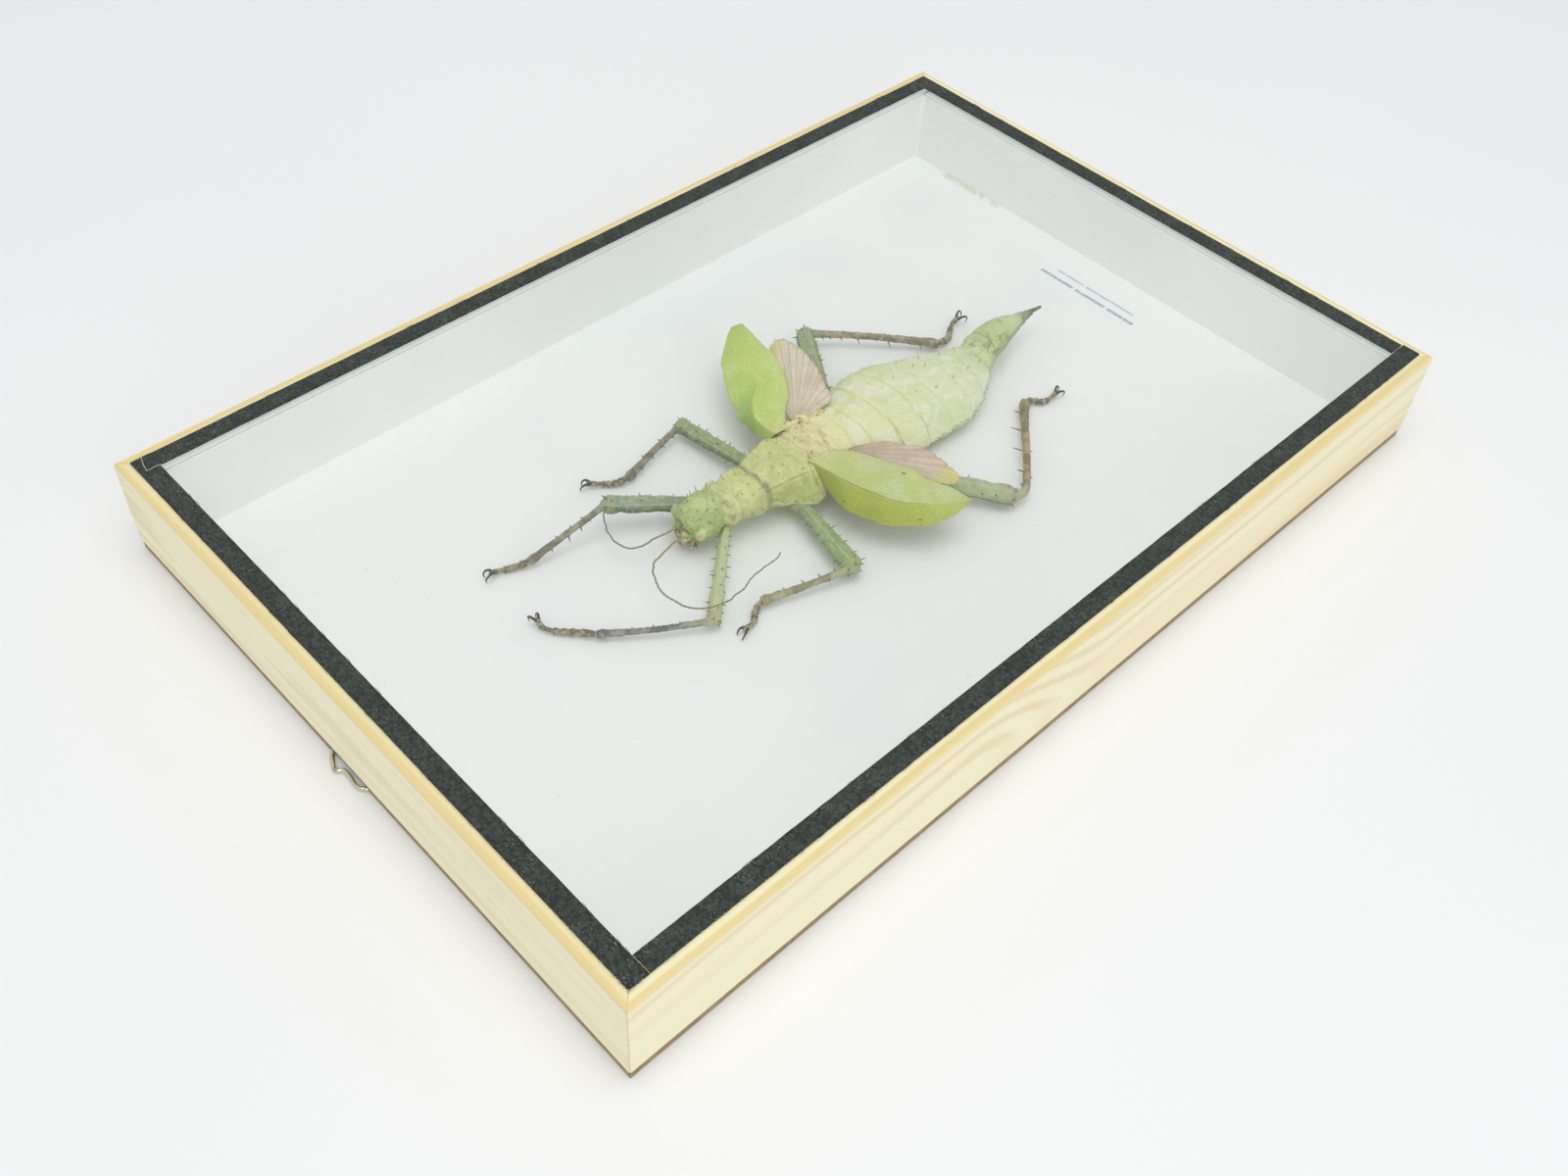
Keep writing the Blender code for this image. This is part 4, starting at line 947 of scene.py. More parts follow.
# Hind wings: the root, then the outer edge from front to rear
HIND_WINGS = {
    "near": ((-6.6, -3.5, 16.2),
             [(-33.6, -14.2, 16.8), (-36.5, -18.0, 17.1), (-36.0, -20.0, 17.2), (-34.8, -21.0, 17.3),
              (-30.3, -21.6, 17.4), (-24.8, -21.7, 17.6), (-20.3, -20.7, 17.7), (-17.2, -18.3, 17.7),
              (-14.4, -16.8, 17.7), (-12.3, -14.7, 17.6), (-10.9, -11.9, 17.4), (-9.1, -8.0, 17.0)]),
    "far": ((9.2, -1.8, 15.9),
            [(29.0, -8.0, 16.6), (34.6, -14.6, 18.2), (37.6, -20.3, 18.6), (37.5, -22.5, 18.6),
             (35.8, -23.3, 18.5), (30.1, -24.2, 18.3), (22.9, -22.8, 18.1), (15.7, -19.4, 17.8),
             (11.0, -17.6, 17.5), (9.6, -15.6, 17.3), (8.8, -11.0, 16.8), (8.4, -7.4, 16.6)]),
}
ANTENNAE = {
    "far": [(4.0, 46.6, 12.2), (5.4, 51.3, 11.0), (6.1, 55.4, 10.4), (7.8, 59.1, 9.8), (12.4, 60.4, 9.4),
            (17.3, 59.6, 9.4), (20.7, 57.6, 9.6), (23.0, 55.4, 10.0), (24.6, 50.0, 10.6)],
    "near": [(1.2, 46.8, 11.5), (0.1, 53.0, 11.8), (-1.2, 57.8, 12.0), (-3.0, 60.7, 12.2),
             (-6.7, 63.0, 12.4), (-11.1, 64.5, 12.5), (-15.9, 64.0, 12.6), (-19.6, 62.7, 12.7),
             (-22.5, 59.8, 12.8), (-24.1, 55.6, 12.8), (-24.3, 51.1, 12.8), (-22.8, 45.0, 12.8),
             (-21.8, 40.1, 12.8), (-22.1, 36.6, 12.9), (-21.0, 32.5, 13.0)],
}
HEAD_CENTRE = (2.3, 39.3, 13.0)
HEAD_RADII = (6.1, 8.4, 6.2)
HEAD_NOD = math.radians(-17.0)
HEAD_YAW = math.radians(-5.0)
print("wings and antennae are listed as", " and ".join(FORE_WINGS), "ones; the head is at", HEAD_CENTRE)

# %% [markdown]
# ## Thorns
# The whole animal is armed: pairs of thorns on head and back, rows of them on the legs, and a comb of tiny
# ones along the edge of the abdomen. One function draws a thorn: a broad foot sunk into the skin, a slim
# shaft and a sharp, slightly bent tip.

# %% A thorn
THORN_SHARES = np.array([0.0, 0.14, 0.32, 0.55, 0.78, 0.94, 1.0])
THORN_TAPER = np.array([1.2, 0.9, 0.7, 0.5, 0.32, 0.14, 0.03])
THORN = 3.0


def add_thorn(shells, root, direction, length, foot, bend=0.12, sides=6):
    """A thorn from a root point, in millimetres, with its finish's numbers."""
    direction = unit(np.asarray(direction, float))
    sideways = unit(np.cross(direction, (0.0, 0.0, 1.0) if abs(direction[2]) < 0.9 else (1.0, 0.0, 0.0)))
    lean = np.cross(direction, sideways)
    line = (np.asarray(root, float) + direction * length * THORN_SHARES[:, None]
            + lean * bend * length * (THORN_SHARES ** 2)[:, None])
    rings = sweep(placed(line), foot * MM * THORN_TAPER, sides=sides, up=lean)
    shells.add(rings, along=steps(len(rings))[:, None], kind=THORN)


# %% [markdown]
# ## The trunk
# Thorax and abdomen are one hollow shell on the real animal, so they are one skin here. Its sections run
# through four corners a side: belly, flank, margin, shoulder and ridge. The thorax keeps those corners, and
# the dried abdomen is softer. On top of that come the folds between segments and fine shrinkage wrinkles.

# %% Trunk skin
TRUNK_ROWS = 620
TRUNK_SIDES = 160
# Folds between segments: y, depth of the groove, half-width, and how dark its line is
FOLDS = [(31.0, 0.25, 0.6, 0.25), (22.3, 0.35, 0.45, 1.0), (7.6, 0.3, 0.6, 0.35), (1.6, 0.35, 0.7, 0.45),
         (-4.6, 0.25, 0.6, 0.3), (-10.1, 0.22, 0.6, 0.6), (-15.3, 0.3, 0.7, 0.9),
         (-24.0, 0.32, 0.75, 1.0), (-33.4, 0.3, 0.75, 0.8), (-42.6, 0.2, 0.9, 0.1),
         (-51.4, 0.2, 0.9, 0.1), (-59.6, 0.2, 0.8, 0.1), (-66.2, 0.25, 0.5, 0.25),
         (-72.6, 0.5, 0.55, 1.0), (-80.4, 0.3, 0.4, 0.6), (-90.6, 0.15, 0.3, 0.5)]


def trunk_rings(rows, sides, softness):
    """Cross-sections through the corners of each station, round to a degree set for each row."""
    y, centre, belly, margin, margin_z, shoulder, shoulder_z, ridge = rows.T
    right = [(y * 0, belly), (margin * 0.68, belly + (margin_z - belly) * 0.28), (margin, margin_z),
             (shoulder, shoulder_z)]
    corners = np.array(right + [(y * 0, ridge)] + [(-x, z) for x, z in reversed(right[1:])])
    turn = np.arange(sides) * 8 / sides
    k = turn.astype(int)
    u = (turn - k)[:, None, None]
    a, b, c, d = (corners[(k + step) % 8] for step in (-1, 0, 1, 2))
    flat = b + (c - b) * u
    section = flat + (through(a, b, c, d, u) - flat) * softness
    x, z = section[:, 0].T, section[:, 1].T
    return np.stack([centre[:, None] + x, np.broadcast_to(y[:, None], x.shape), z], axis=-1), turn


stations = smooth_line(TRUNK, steps(TRUNK_ROWS))
trunk_y = stations[:, 0]
softness = 0.6 + 0.35 * np.clip((4.0 - trunk_y) / 14.0, 0, 1) + 0.3 * np.clip((trunk_y - 20.0) / 3.0, 0, 1)
rings, turn = trunk_rings(stations, TRUNK_SIDES, softness)
skin = placed(rings)
normal = outward(skin)
if normal[100, TRUNK_SIDES // 2, 2] < 0:
    normal = -normal
print("a trunk skin of", TRUNK_ROWS, "by", TRUNK_SIDES, "points")

# %% Trunk relief
side_share = np.abs(turn - 4.0) / 2.0
sway = 1.0 * rough(skin, 0.007, 3, 41.0)
arch = trunk_y[:, None] - 1.2 * np.clip(side_share, 0, 1.2)[None, :] ** 2 + sway
groove = np.zeros(skin.shape[:2])
dark_line = np.zeros(skin.shape[:2])
for fold_y, depth, width, tone in FOLDS:
    off = arch - fold_y
    swelling = 0.75 * np.exp(-((off - 1.5 * width) / (1.3 * width)) ** 2)
    groove += depth * (swelling - np.exp(-(off / width) ** 2))
    dark_line = np.maximum(dark_line, tone * np.exp(-(off / (0.55 * width)) ** 2))
abdomen = np.clip((2.0 - trunk_y) / 8.0, 0, 1)[:, None]
fine = rough(skin, 0.0012, 3, 2.0)
lumps = rough(skin * (1.0, 0.6, 1.0), 0.0062, 3, 5.0)
bosses = np.clip(rough(skin, 0.0034, 2, 12.0), -0.3, 1.0)
creases = rough(skin * (0.45, 1.6, 0.7), 0.0024, 3, 8.0)
waist = np.exp(-(trunk_y / 6.5) ** 2)[:, None]
height = (groove + 0.09 * fine + abdomen * (0.46 * lumps + 0.1 * creases) + 0.8 * waist * creases
          + (1 - abdomen) * (0.2 * lumps + 0.45 * bosses))
small = np.clip((trunk_y + 99.5) / 9.0, 0.12, 1)[:, None]
skin = skin + normal * (height * small * MM)[..., None]


def capped(values):
    """Values for each ring, with the first and the last given again to the rings that shut the skin."""
    values = np.broadcast_to(values, skin.shape[:2])
    return np.concatenate([values[:1], values, values[-1:]])


trunk = Shells("turn", "fold", "station", "hollow")
trunk.add(shut(skin), turn=capped(turn), fold=capped(dark_line), station=capped(trunk_y[:, None]),
          hollow=capped(0.5 - (bosses * (1 - abdomen) + creases * waist)))
print("trunk height from", round(skin[..., 2].min() / MM, 1), "to", round(skin[..., 2].max() / MM, 1), "mm")

# %% [markdown]
# The comb along each side of the abdomen has a point every millimetre or so, and the thorns of the back
# stand in loose pairs. Their feet are found on the finished skin, so none of them floats.

# %% Trunk thorns
# Thorns of the thorax, in pairs: distance from the middle, y and length
PAIRED_THORNS = [(3.4, 29.4, 1.9), (2.6, 26.4, 1.5), (5.0, 24.8, 1.6), (4.2, 17.6, 1.0), (2.4, 14.4, 0.8),
                 (6.8, 11.4, 1.6), (3.4, 3.6, 1.3), (6.2, 8.4, 0.9)]
# Thorns of the abdomen, as they stand: x, y and length
BACK_THORNS = [(7.2, -51.0, 2.0), (10.5, -44.6, 1.3), (2.9, -49.0, 1.3), (-5.2, -44.1, 1.6),
               (-5.3, -51.6, 2.0), (-4.9, -58.2, 2.4), (-4.4, -64.5, 1.4), (4.5, -56.9, 1.6),
               (4.9, -45.6, 1.3), (-3.4, -38.0, 0.9), (5.2, -37.2, 0.9), (3.6, -62.4, 1.2),
               (-2.6, -70.2, 0.9)]
COMB_FROM = -9.0
COMB_TO = -66.0
COMB_POINTS = 74
SIDE_THORNS = [(29.0, 1.9), (26.0, 2.1), (24.2, 1.5), (19.5, 1.6), (16.0, 1.5), (12.0, 1.6), (8.0, 1.2)]
upper_half = np.where(np.abs(turn - 4.0) < 2.0)[0]


def skin_spot(y, wanted_turn=None, x=None):
    """The skin's point and normal at a station: at a place round the section, or on top, over x."""
    row = np.argmin(np.abs(trunk_y - y))
    if x is None:
        column = np.argmin(np.abs(turn - wanted_turn))
    else:
        column = upper_half[np.argmin(np.abs(skin[row, upper_half, 0] / MM - x))]
    return skin[row, column] / MM - (0.0, SHIFT_Y, 0.0), normal[row, column]


def middle_at(y):
    """Where the trunk's middle is at a station."""
    return np.interp(-y, -trunk_y, stations[:, 1])


thorns = Shells("along")
placed_thorns = list(BACK_THORNS)
for offset, y, length in PAIRED_THORNS:
    placed_thorns += [(middle_at(y) + offset, y, length), (middle_at(y) - offset, y, length)]
for x, y, length in placed_thorns:
    root, away = skin_spot(y, x=x)
    lean = np.array([np.sign(x - middle_at(y)) * 0.35, 0.15, 0.5])
    add_thorn(thorns, root - away * 0.35, away + lean, length + 0.35, 0.22)
for n in range(COMB_POINTS):
    y = COMB_FROM + (COMB_TO - COMB_FROM) * (n + rng.uniform(-0.35, 0.35)) / (COMB_POINTS - 1)
    for margin_turn, side in ((2.0, 1), (6.0, -1)):
        root, away = skin_spot(y, margin_turn + rng.uniform(-0.1, 0.1))
        lean = np.array([side * 0.4, -0.35, 0.15])
        add_thorn(thorns, root - away * 0.2, away + lean, rng.uniform(0.8, 1.35), 0.15, sides=5)
for y, length in SIDE_THORNS:
    for margin_turn in (2.15, 5.85):
        root, away = skin_spot(y, margin_turn)
        add_thorn(thorns, root - away * 0.3, away + np.array([0.0, -0.1, 0.25]), length + 0.5, 0.3)
print("the trunk has", len(placed_thorns) + 2 * (COMB_POINTS + len(SIDE_THORNS)), "thorns")

# %% [markdown]
# The tail ends in a beak for laying eggs: a long upper spike, which is the end of the skin above, and a
# shorter lower one.

# %% Lower spike of the tail
LOWER_SPIKE = [(1.4, -84.0, 10.4), (1.5, -90.0, 10.7), (1.9, -94.5, 10.8), (2.2, -97.9, 10.5)]
spike_line = even_line(LOWER_SPIKE, 24)
spike = sweep(placed(spike_line), np.array([1.5, 1.4, 1.1, 0.65, 0.25]).repeat(5)[:24] * MM
              * np.linspace(1.0, 0.75, 24), sides=14)
trunk.add(spike, turn=4.0, fold=0.0, hollow=0.5,
          station=np.concatenate([[-84.0], spike_line[:, 1], [-98.0]])[:, None] + 2.0)
print("the lower spike ends at y", LOWER_SPIKE[-1][1], "mm")

# %% [markdown]
# ## The trunk's colours
# From head to tail: yellow-green collar, olive middle, a crumpled cream saddle between the wings, then the
# abdomen, pale cream green with whitish clouds, and a greener tail with a dark tip. One ramp along the
# body holds those, and noise breaks it up. The folds keep the darker line that the mesh carries.

# %% Trunk ground colours
BODY_TONES = [(38.0, (196, 202, 140)), (34.6, (208, 210, 150)), (31.6, (206, 210, 150)),
              (28.0, (203, 210, 142)), (24.5, (196, 204, 134)), (22.6, (168, 162, 142)),
              (21.6, (198, 204, 138)), (10.0, (202, 206, 136)), (6.0, (220, 214, 158)),
              (0.0, (232, 220, 172)), (-6.0, (232, 226, 174)), (-16.0, (228, 229, 180)),
              (-30.0, (222, 226, 182)), (-46.0, (220, 225, 184)), (-58.0, (218, 222, 186)),
              (-66.0, (206, 214, 170)), (-74.0, (186, 200, 142)), (-86.0, (198, 212, 164)),
              (-92.0, (158, 164, 130)),
              (-95.0, (108, 106, 92))]
TONE_FROM = 38.0
TONE_TO = -95.0

finish = Finish("trunk_cuticle", Specular_IOR_Level=0.3)
station = finish.mark("station")
turned = finish.mark("turn")
off_middle = abs(turned - 4.0)
wobble = finish.clouds(0.006, detail=2.0) * 4.0 - 2.0
share = (TONE_FROM - (station + wobble * station.eased(18.0, 12.0))) / (TONE_FROM - TONE_TO)
stops = [((TONE_FROM - y) / (TONE_FROM - TONE_TO), tone) for y, tone in BODY_TONES]
finish.colour = finish.ramp(share, stops)
on_abdomen = station.eased(-6.0, -14.0) * station.eased(-72.0, -66.0)

# green clouds, whitish clouds and their thin bright streaks
green = finish.clouds(0.009, detail=4.0, warp=0.6).eased(0.46, 0.64)
finish.coat(green * on_abdomen * 0.5, (202, 216, 150))
milky = finish.clouds(0.0085, detail=5.0, warp=0.8, stretch=(1.0, 0.7, 1.0)).eased(0.5, 0.6)
finish.coat(milky * on_abdomen * 0.55, (236, 234, 218))
finish.coat(finish.net(0.0085, 0.06, 0.0, stretch=(1.0, 0.6, 1.0)) * on_abdomen * 0.4, (238, 238, 216))
warm = finish.clouds(0.008, detail=2.0).eased(0.56, 0.7) * station.eased(-62.0, -10.0)
finish.coat(warm * on_abdomen * 0.6, (234, 226, 150))

# the middle: brighter side faces with a pale hem under a thin dark keel
on_middle = station.eased(2.0, 6.0) * station.eased(23.0, 21.5)
finish.coat(off_middle.eased(1.05, 1.25) * off_middle.eased(2.15, 1.95) * on_middle * 0.6, (176, 188, 108))
finish.coat(off_middle.near(2.02, 0.12) * on_middle * 0.8, (232, 222, 194))
finish.coat(off_middle.near(1.0, 0.045) * on_middle * 0.55, (124, 120, 78))
patchy = finish.clouds(0.0042, detail=4.0, warp=0.5).eased(0.5, 0.66)
on_thorax = station.eased(-2.0, 6.0)
finish.coat(patchy * on_thorax * 0.55, (226, 220, 158))
mossy = finish.clouds(0.0031, detail=4.0, stretch=(1.3, 1.0, 1.0)).eased(0.56, 0.68)
finish.coat(mossy * on_thorax * 0.5, (150, 166, 84))

# %% Saddle, folds and tail
saddle = station.eased(9.0, 4.0) * station.eased(-9.0, -3.0)
ruddy = finish.clouds(0.0021, detail=4.0, warp=1.2, stretch=(0.5, 1.6, 1.0)).eased(0.52, 0.62)
finish.coat(ruddy * saddle * 0.55, (184, 150, 100))
finish.coat(finish.mark("hollow").eased(0.62, 1.0) * 0.35, (166, 152, 98))

# lines in the folds: yellow over the back, grey green down the near flank
line_tone = finish.ramp(turned / 8, [(0.3, (176, 190, 110)), (0.5, (220, 212, 104)), (0.62, (198, 196, 104)),
                                     (0.72, (122, 142, 104))])
line_tone = finish.blend(station.eased(-36.0, -44.0), line_tone, (134, 132, 84))
line_tone = finish.blend(station.eased(4.0, 12.0), line_tone, (140, 132, 116))
broken = finish.clouds(0.005).eased(0.38, 0.58) * 0.6 + 0.2
broken = broken + station.eased(-64.0, -70.0) * 0.2
finish.coat(finish.mark("fold") * broken, line_tone)
finish.coat(off_middle.eased(2.1, 2.6) * 0.45, (172, 184, 116))

# the tail's brown smudges, and flecks and small warts everywhere
smudge = finish.clouds(0.0034, detail=4.0, warp=0.8).eased(0.52, 0.66)
finish.coat(smudge * station.eased(-60.0, -68.0) * 0.6, (134, 124, 82))
collar = station.near(34.4, 0.9) + station.near(31.4, 0.8) * 0.6
finish.coat(collar * patchy * 0.55, (142, 124, 78))
finish.coat(turned.near(6.2, 0.9) * station.eased(-66.0, -74.0) * 0.45, (118, 132, 98))
dots = finish.cells(0.0026).eased(0.13, 0.06) * finish.clouds(0.006).eased(0.48, 0.6)
finish.coat(dots * 0.5, (170, 130, 74))
grain = finish.clouds(0.0008, detail=4.0, roughness=0.75)
finish.coat(grain.eased(0.5, 0.72) * 0.3, (242, 240, 214))
finish.coat(grain.eased(0.46, 0.32) * 0.25, (152, 166, 104))
relief = (grain * 0.8 + finish.cells(0.0011) * 0.6, 0.00016)
trunk.build("insect_trunk", finish.paint(relief, Roughness=0.44 + grain * 0.2), "cuticle", "insect")

# %% Thorn finish
finish = Finish("thorn_cuticle", Roughness=0.5)
finish.colour = finish.ramp(finish.mark("along"), [(0.2, (186, 194, 134)), (0.6, (142, 138, 98)),
                                                   (1.0, (92, 86, 66))])
finish.coat(finish.clouds(0.001) * 0.3, (186, 182, 140))
THORN_FINISH = finish.paint()
thorns.build("insect_thorns", THORN_FINISH, "cuticle", "insect")

# %% [markdown]
# ## The head
# A blunt egg, leaning forwards, with its face turned down to the card. Its crest is studded with small
# warts, the eyes are pale beads, and between them sit the feelers' sockets and a tuft of mouthparts.

# %% Head shape
HEAD_ROWS = 150
HEAD_SIDES = 144
lean = np.array(Matrix.Rotation(HEAD_YAW, 3, "Z") @ Matrix.Rotation(HEAD_NOD, 3, "X"))


def ball(centre, radii, rows=24, sides=32, turn_by=None):
    """Rings of an egg about a centre, in millimetres, its poles along its own Y."""
    fall = np.linspace(0.0, math.pi, rows)[:, None]
    angle = np.linspace(0, 2 * math.pi, sides, endpoint=False)[None, :]
    points = np.stack([np.sin(fall) * np.cos(angle), -np.cos(fall) + 0 * angle, np.sin(fall) * np.sin(angle)],
                      axis=-1) * radii
    return (points if turn_by is None else points @ turn_by.T) + centre


def on_head(offset):
    """A point given from the head's centre along its own axes."""
    return np.array(HEAD_CENTRE) + lean @ np.array(offset, float)


def head_ball(offset, radii):
    """A small egg on the head, lying as the head does."""
    return placed(ball(on_head(offset), radii, turn_by=lean))


skull = ball((0, 0, 0), (1.0, 1.0, 1.0), HEAD_ROWS, HEAD_SIDES)
ahead, rise = skull[..., 1], skull[..., 2]
pinch = 1.0 - 0.16 * np.clip(ahead, 0, 1) ** 2
square = 1.0 - np.abs(ahead) ** 4 * 0.08
brow = 1.0 + 0.07 * np.exp(-((ahead - 0.35) / 0.3) ** 2) * np.clip(rise, 0, 1)
cheeks = 1.0 + 0.05 * np.exp(-((ahead - 0.4) / 0.25) ** 2)
crest = 1.0 + 0.05 * np.clip(rise, 0, 1) * np.clip(-ahead + 0.3, 0, 1)
shaped = skull * np.array(HEAD_RADII) * np.stack([pinch * cheeks, square, brow * crest * pinch], axis=-1)
world_skull = placed(shaped @ lean.T + HEAD_CENTRE)
warts = rough(world_skull, 0.0013, 3, 14.0)
bulges = rough(world_skull, 0.0042, 2, 17.0)
away = unit(world_skull - placed(HEAD_CENTRE))
poles = np.sin(np.linspace(0, math.pi, HEAD_ROWS))[:, None] ** 0.5
world_skull = world_skull + away * ((0.34 * np.abs(warts) + 0.4 * bulges) * poles * MM)[..., None]

head = Shells("face")
head.add(world_skull, face=ahead)
for side in (-1, 1):
    head.add(head_ball((side * 2.1, 6.6, 1.0), (1.1, 1.5, 1.1)), face=0.6)
    head.add(head_ball((side * 5.0, 3.7, 1.2), (1.7, 2.1, 2.0)), face=0.3)
print("a head skin of", HEAD_ROWS, "by", HEAD_SIDES, "points")

# %% Head thorns
# Thorns of the crest: distance from the middle, distance ahead and length
HEAD_THORNS = [(3.9, 2.2, 1.9), (3.4, -0.4, 2.2), (4.2, -2.6, 2.1), (2.0, 1.4, 1.4), (2.2, -3.6, 1.7),
               (3.4, -5.2, 2.0), (5.2, 0.8, 1.4), (1.4, 4.2, 1.0)]
head_thorns = Shells("along")
for across, forward, length in HEAD_THORNS:
    for side in (-1, 1):
        up = math.sqrt(max(0.02, 1 - (across / HEAD_RADII[0]) ** 2 - (forward / HEAD_RADII[1]) ** 2))
        local = np.array([side * across, forward, up * HEAD_RADII[2]])
        facing = unit(lean @ (local / np.array(HEAD_RADII) ** 2))
        add_thorn(head_thorns, on_head(local) - facing * 0.4, facing + np.array([0, -0.1, 0.5]), length + 0.5,
                  0.32)

# %% [markdown]
# The mouth is a cluster of small hooked parts. Pale palps hang in pairs below the jaws, drawn as short
# bent limbs, and the jaws themselves are pale lumps with dark gaps.

# %% Mouthparts and eyes
EYE_RADIUS = 1.6
# Palps, in pairs: distance from the middle, ahead and up on the head, length and thickness
MOUTH_PARTS = [(1.5, 7.0, -1.8, 1.9, 0.6), (2.9, 6.0, -2.8, 2.2, 0.45), (0.7, 7.4, -2.6, 1.6, 0.5),
               (3.4, 5.2, -3.4, 1.8, 0.4)]
# Lumps: place on the head and radius
MOUTH_LUMPS = [(0.0, 7.2, -0.2, 1.5), (1.3, 7.3, -1.4, 1.2), (-1.3, 7.3, -1.4, 1.2),
               (2.3, 6.6, -0.6, 1.0), (-2.3, 6.6, -0.6, 1.0), (0.0, 7.0, -2.6, 1.6),
               (2.2, 6.2, -2.6, 1.2), (-2.2, 6.2, -2.6, 1.2)]
mouth = Shells()
for x, y, z, radius in MOUTH_LUMPS:
    lump = head_ball((x, y, z), (radius, radius * 0.9, radius))
    bumps = rough(lump, 0.0009, 2, 33.0)
    mouth.add(lump + unit(lump - lump.mean((0, 1))) * (bumps * 0.00014)[..., None])
for across, forward, drop, length, thick in MOUTH_PARTS:
    for side in (-1, 1):
        start = on_head((side * across, forward, drop))
        bends = [(0, 0, 0), (side * 0.2, 0.8, -0.4 * length), (-side * 0.1, 1.0, -0.8 * length),
                 (-side * 0.6, 0.5, -length)]
        line = smooth_line(placed([start + lean @ np.array(bend) for bend in bends]), steps(14))
        swell = thick * MM * (0.9 + 0.3 * np.sin(np.linspace(0.3, 3.0, 14) * 3))
        mouth.add(sweep(line, swell, sides=12, up=(0.0, 1.0, 0.2)))
eyes = Shells()
for side in (-1, 1):
    eyes.add(head_ball((side * 5.75, 3.9, 1.3), (EYE_RADIUS * 0.8, EYE_RADIUS, EYE_RADIUS)))

# %% Head finishes
finish = Finish("head_cuticle", Specular_IOR_Level=0.3)
facing = finish.mark("face")
finish.coat(finish.clouds(0.0045).eased(0.4, 0.62), (194, 206, 142), under=(172, 190, 122))
dusky = finish.clouds(0.0017, detail=5.0, warp=0.8).eased(0.5, 0.66)
finish.coat(dusky * 0.5, (134, 144, 90))
finish.coat(facing.eased(-0.35, -0.8) * 0.45, (206, 212, 146))
brown = finish.clouds(0.0013).eased(0.42, 0.58)
finish.coat(facing.eased(0.52, 0.8) * (brown * 0.6 + 0.2), (104, 88, 60))
wart = finish.cells(0.0009)
finish.coat(wart.eased(0.32, 0.1) * 0.3, (224, 224, 178))
finish.coat(finish.clouds(0.0026).eased(0.6, 0.7) * 0.3, (182, 168, 112))
relief = (finish.clouds(0.0006) - wart * 0.6, 0.00018)
head.build("insect_head", finish.paint(relief, Roughness=0.47 + dusky * 0.15), "cuticle", "insect")
head_thorns.build("insect_head_thorns", THORN_FINISH, "cuticle", "insect")

finish = Finish("mouth_cuticle", Roughness=0.45)
finish.colour = finish.ramp(finish.clouds(0.0014), [(0.38, (84, 70, 48)), (0.48, (158, 140, 96)),
                                                    (0.62, (226, 216, 178))])
mouth.build("insect_mouth", finish.paint((finish.clouds(0.0005), 0.00012)), "cuticle", "insect")

finish = Finish("eye_lens", Roughness=0.36, Coat_Weight=0.2)
finish.coat(finish.clouds(0.0011).eased(0.4, 0.65), (184, 174, 120), under=(208, 202, 152))
eyes.build("insect_eyes", finish.paint((finish.cells(0.00016), 0.00002)), "cuticle", "insect")

# %% [markdown]
# ## Legs
# Each leg is a thick five-edged thigh, a slim shin that widens at its end, and a foot of five joints with
# two hooked claws. The thigh is green, its upper half painted paler and its lower half darker as painted
# light and shade, and from the knee on the leg turns brown.
# All three come from the same sweep, with an outline that keeps the thigh's long edges, and every skin is
# then roughened, because nothing on a dried insect is smooth.

# %% Leg measures
THIGH_SHARES = [0.0, 0.06, 0.2, 0.45, 0.7, 0.86, 0.93, 0.98, 1.0]
THIGH_TAPER = [0.85, 0.95, 1.0, 1.0, 0.97, 0.95, 1.02, 0.98, 0.7]
SHIN_SHARES = [0.0, 0.05, 0.12, 0.4, 0.75, 0.9, 0.96, 1.0]
SHIN_TAPER = [0.9, 1.2, 0.95, 0.86, 0.95, 1.1, 1.35, 1.1]
FOOT_JOINTS = [0.0, 0.3, 0.45, 0.58, 0.7, 1.0]
FOOT_SLIMMING = (1.08, 1.0, 0.95, 0.92, 0.8)
FOOT_RADIUS = 0.9
CLAW_LENGTH = 3.8
CLAW_TABLE = 4.1
LONG_CLAWS = {"hind_far": 1.35, "hind_near": 1.15}
# A claw's bend: ahead, to its side and up, for a claw of the drawn length
CLAW_DRAWN = 2.9
CLAW_BEND = [(-0.3, 0.0, 0.0), (0.6, 0.6, 0.4), (1.5, 0.95, 0.2), (2.2, 0.9, -0.8), (2.0, 0.7, -1.9)]
EDGES = 5
# What the finish calls each part of a leg; a thorn's number is above
THIGH, SHIN, FOOT, CLAW = 0.0, 1.0, 2.0, 4.0
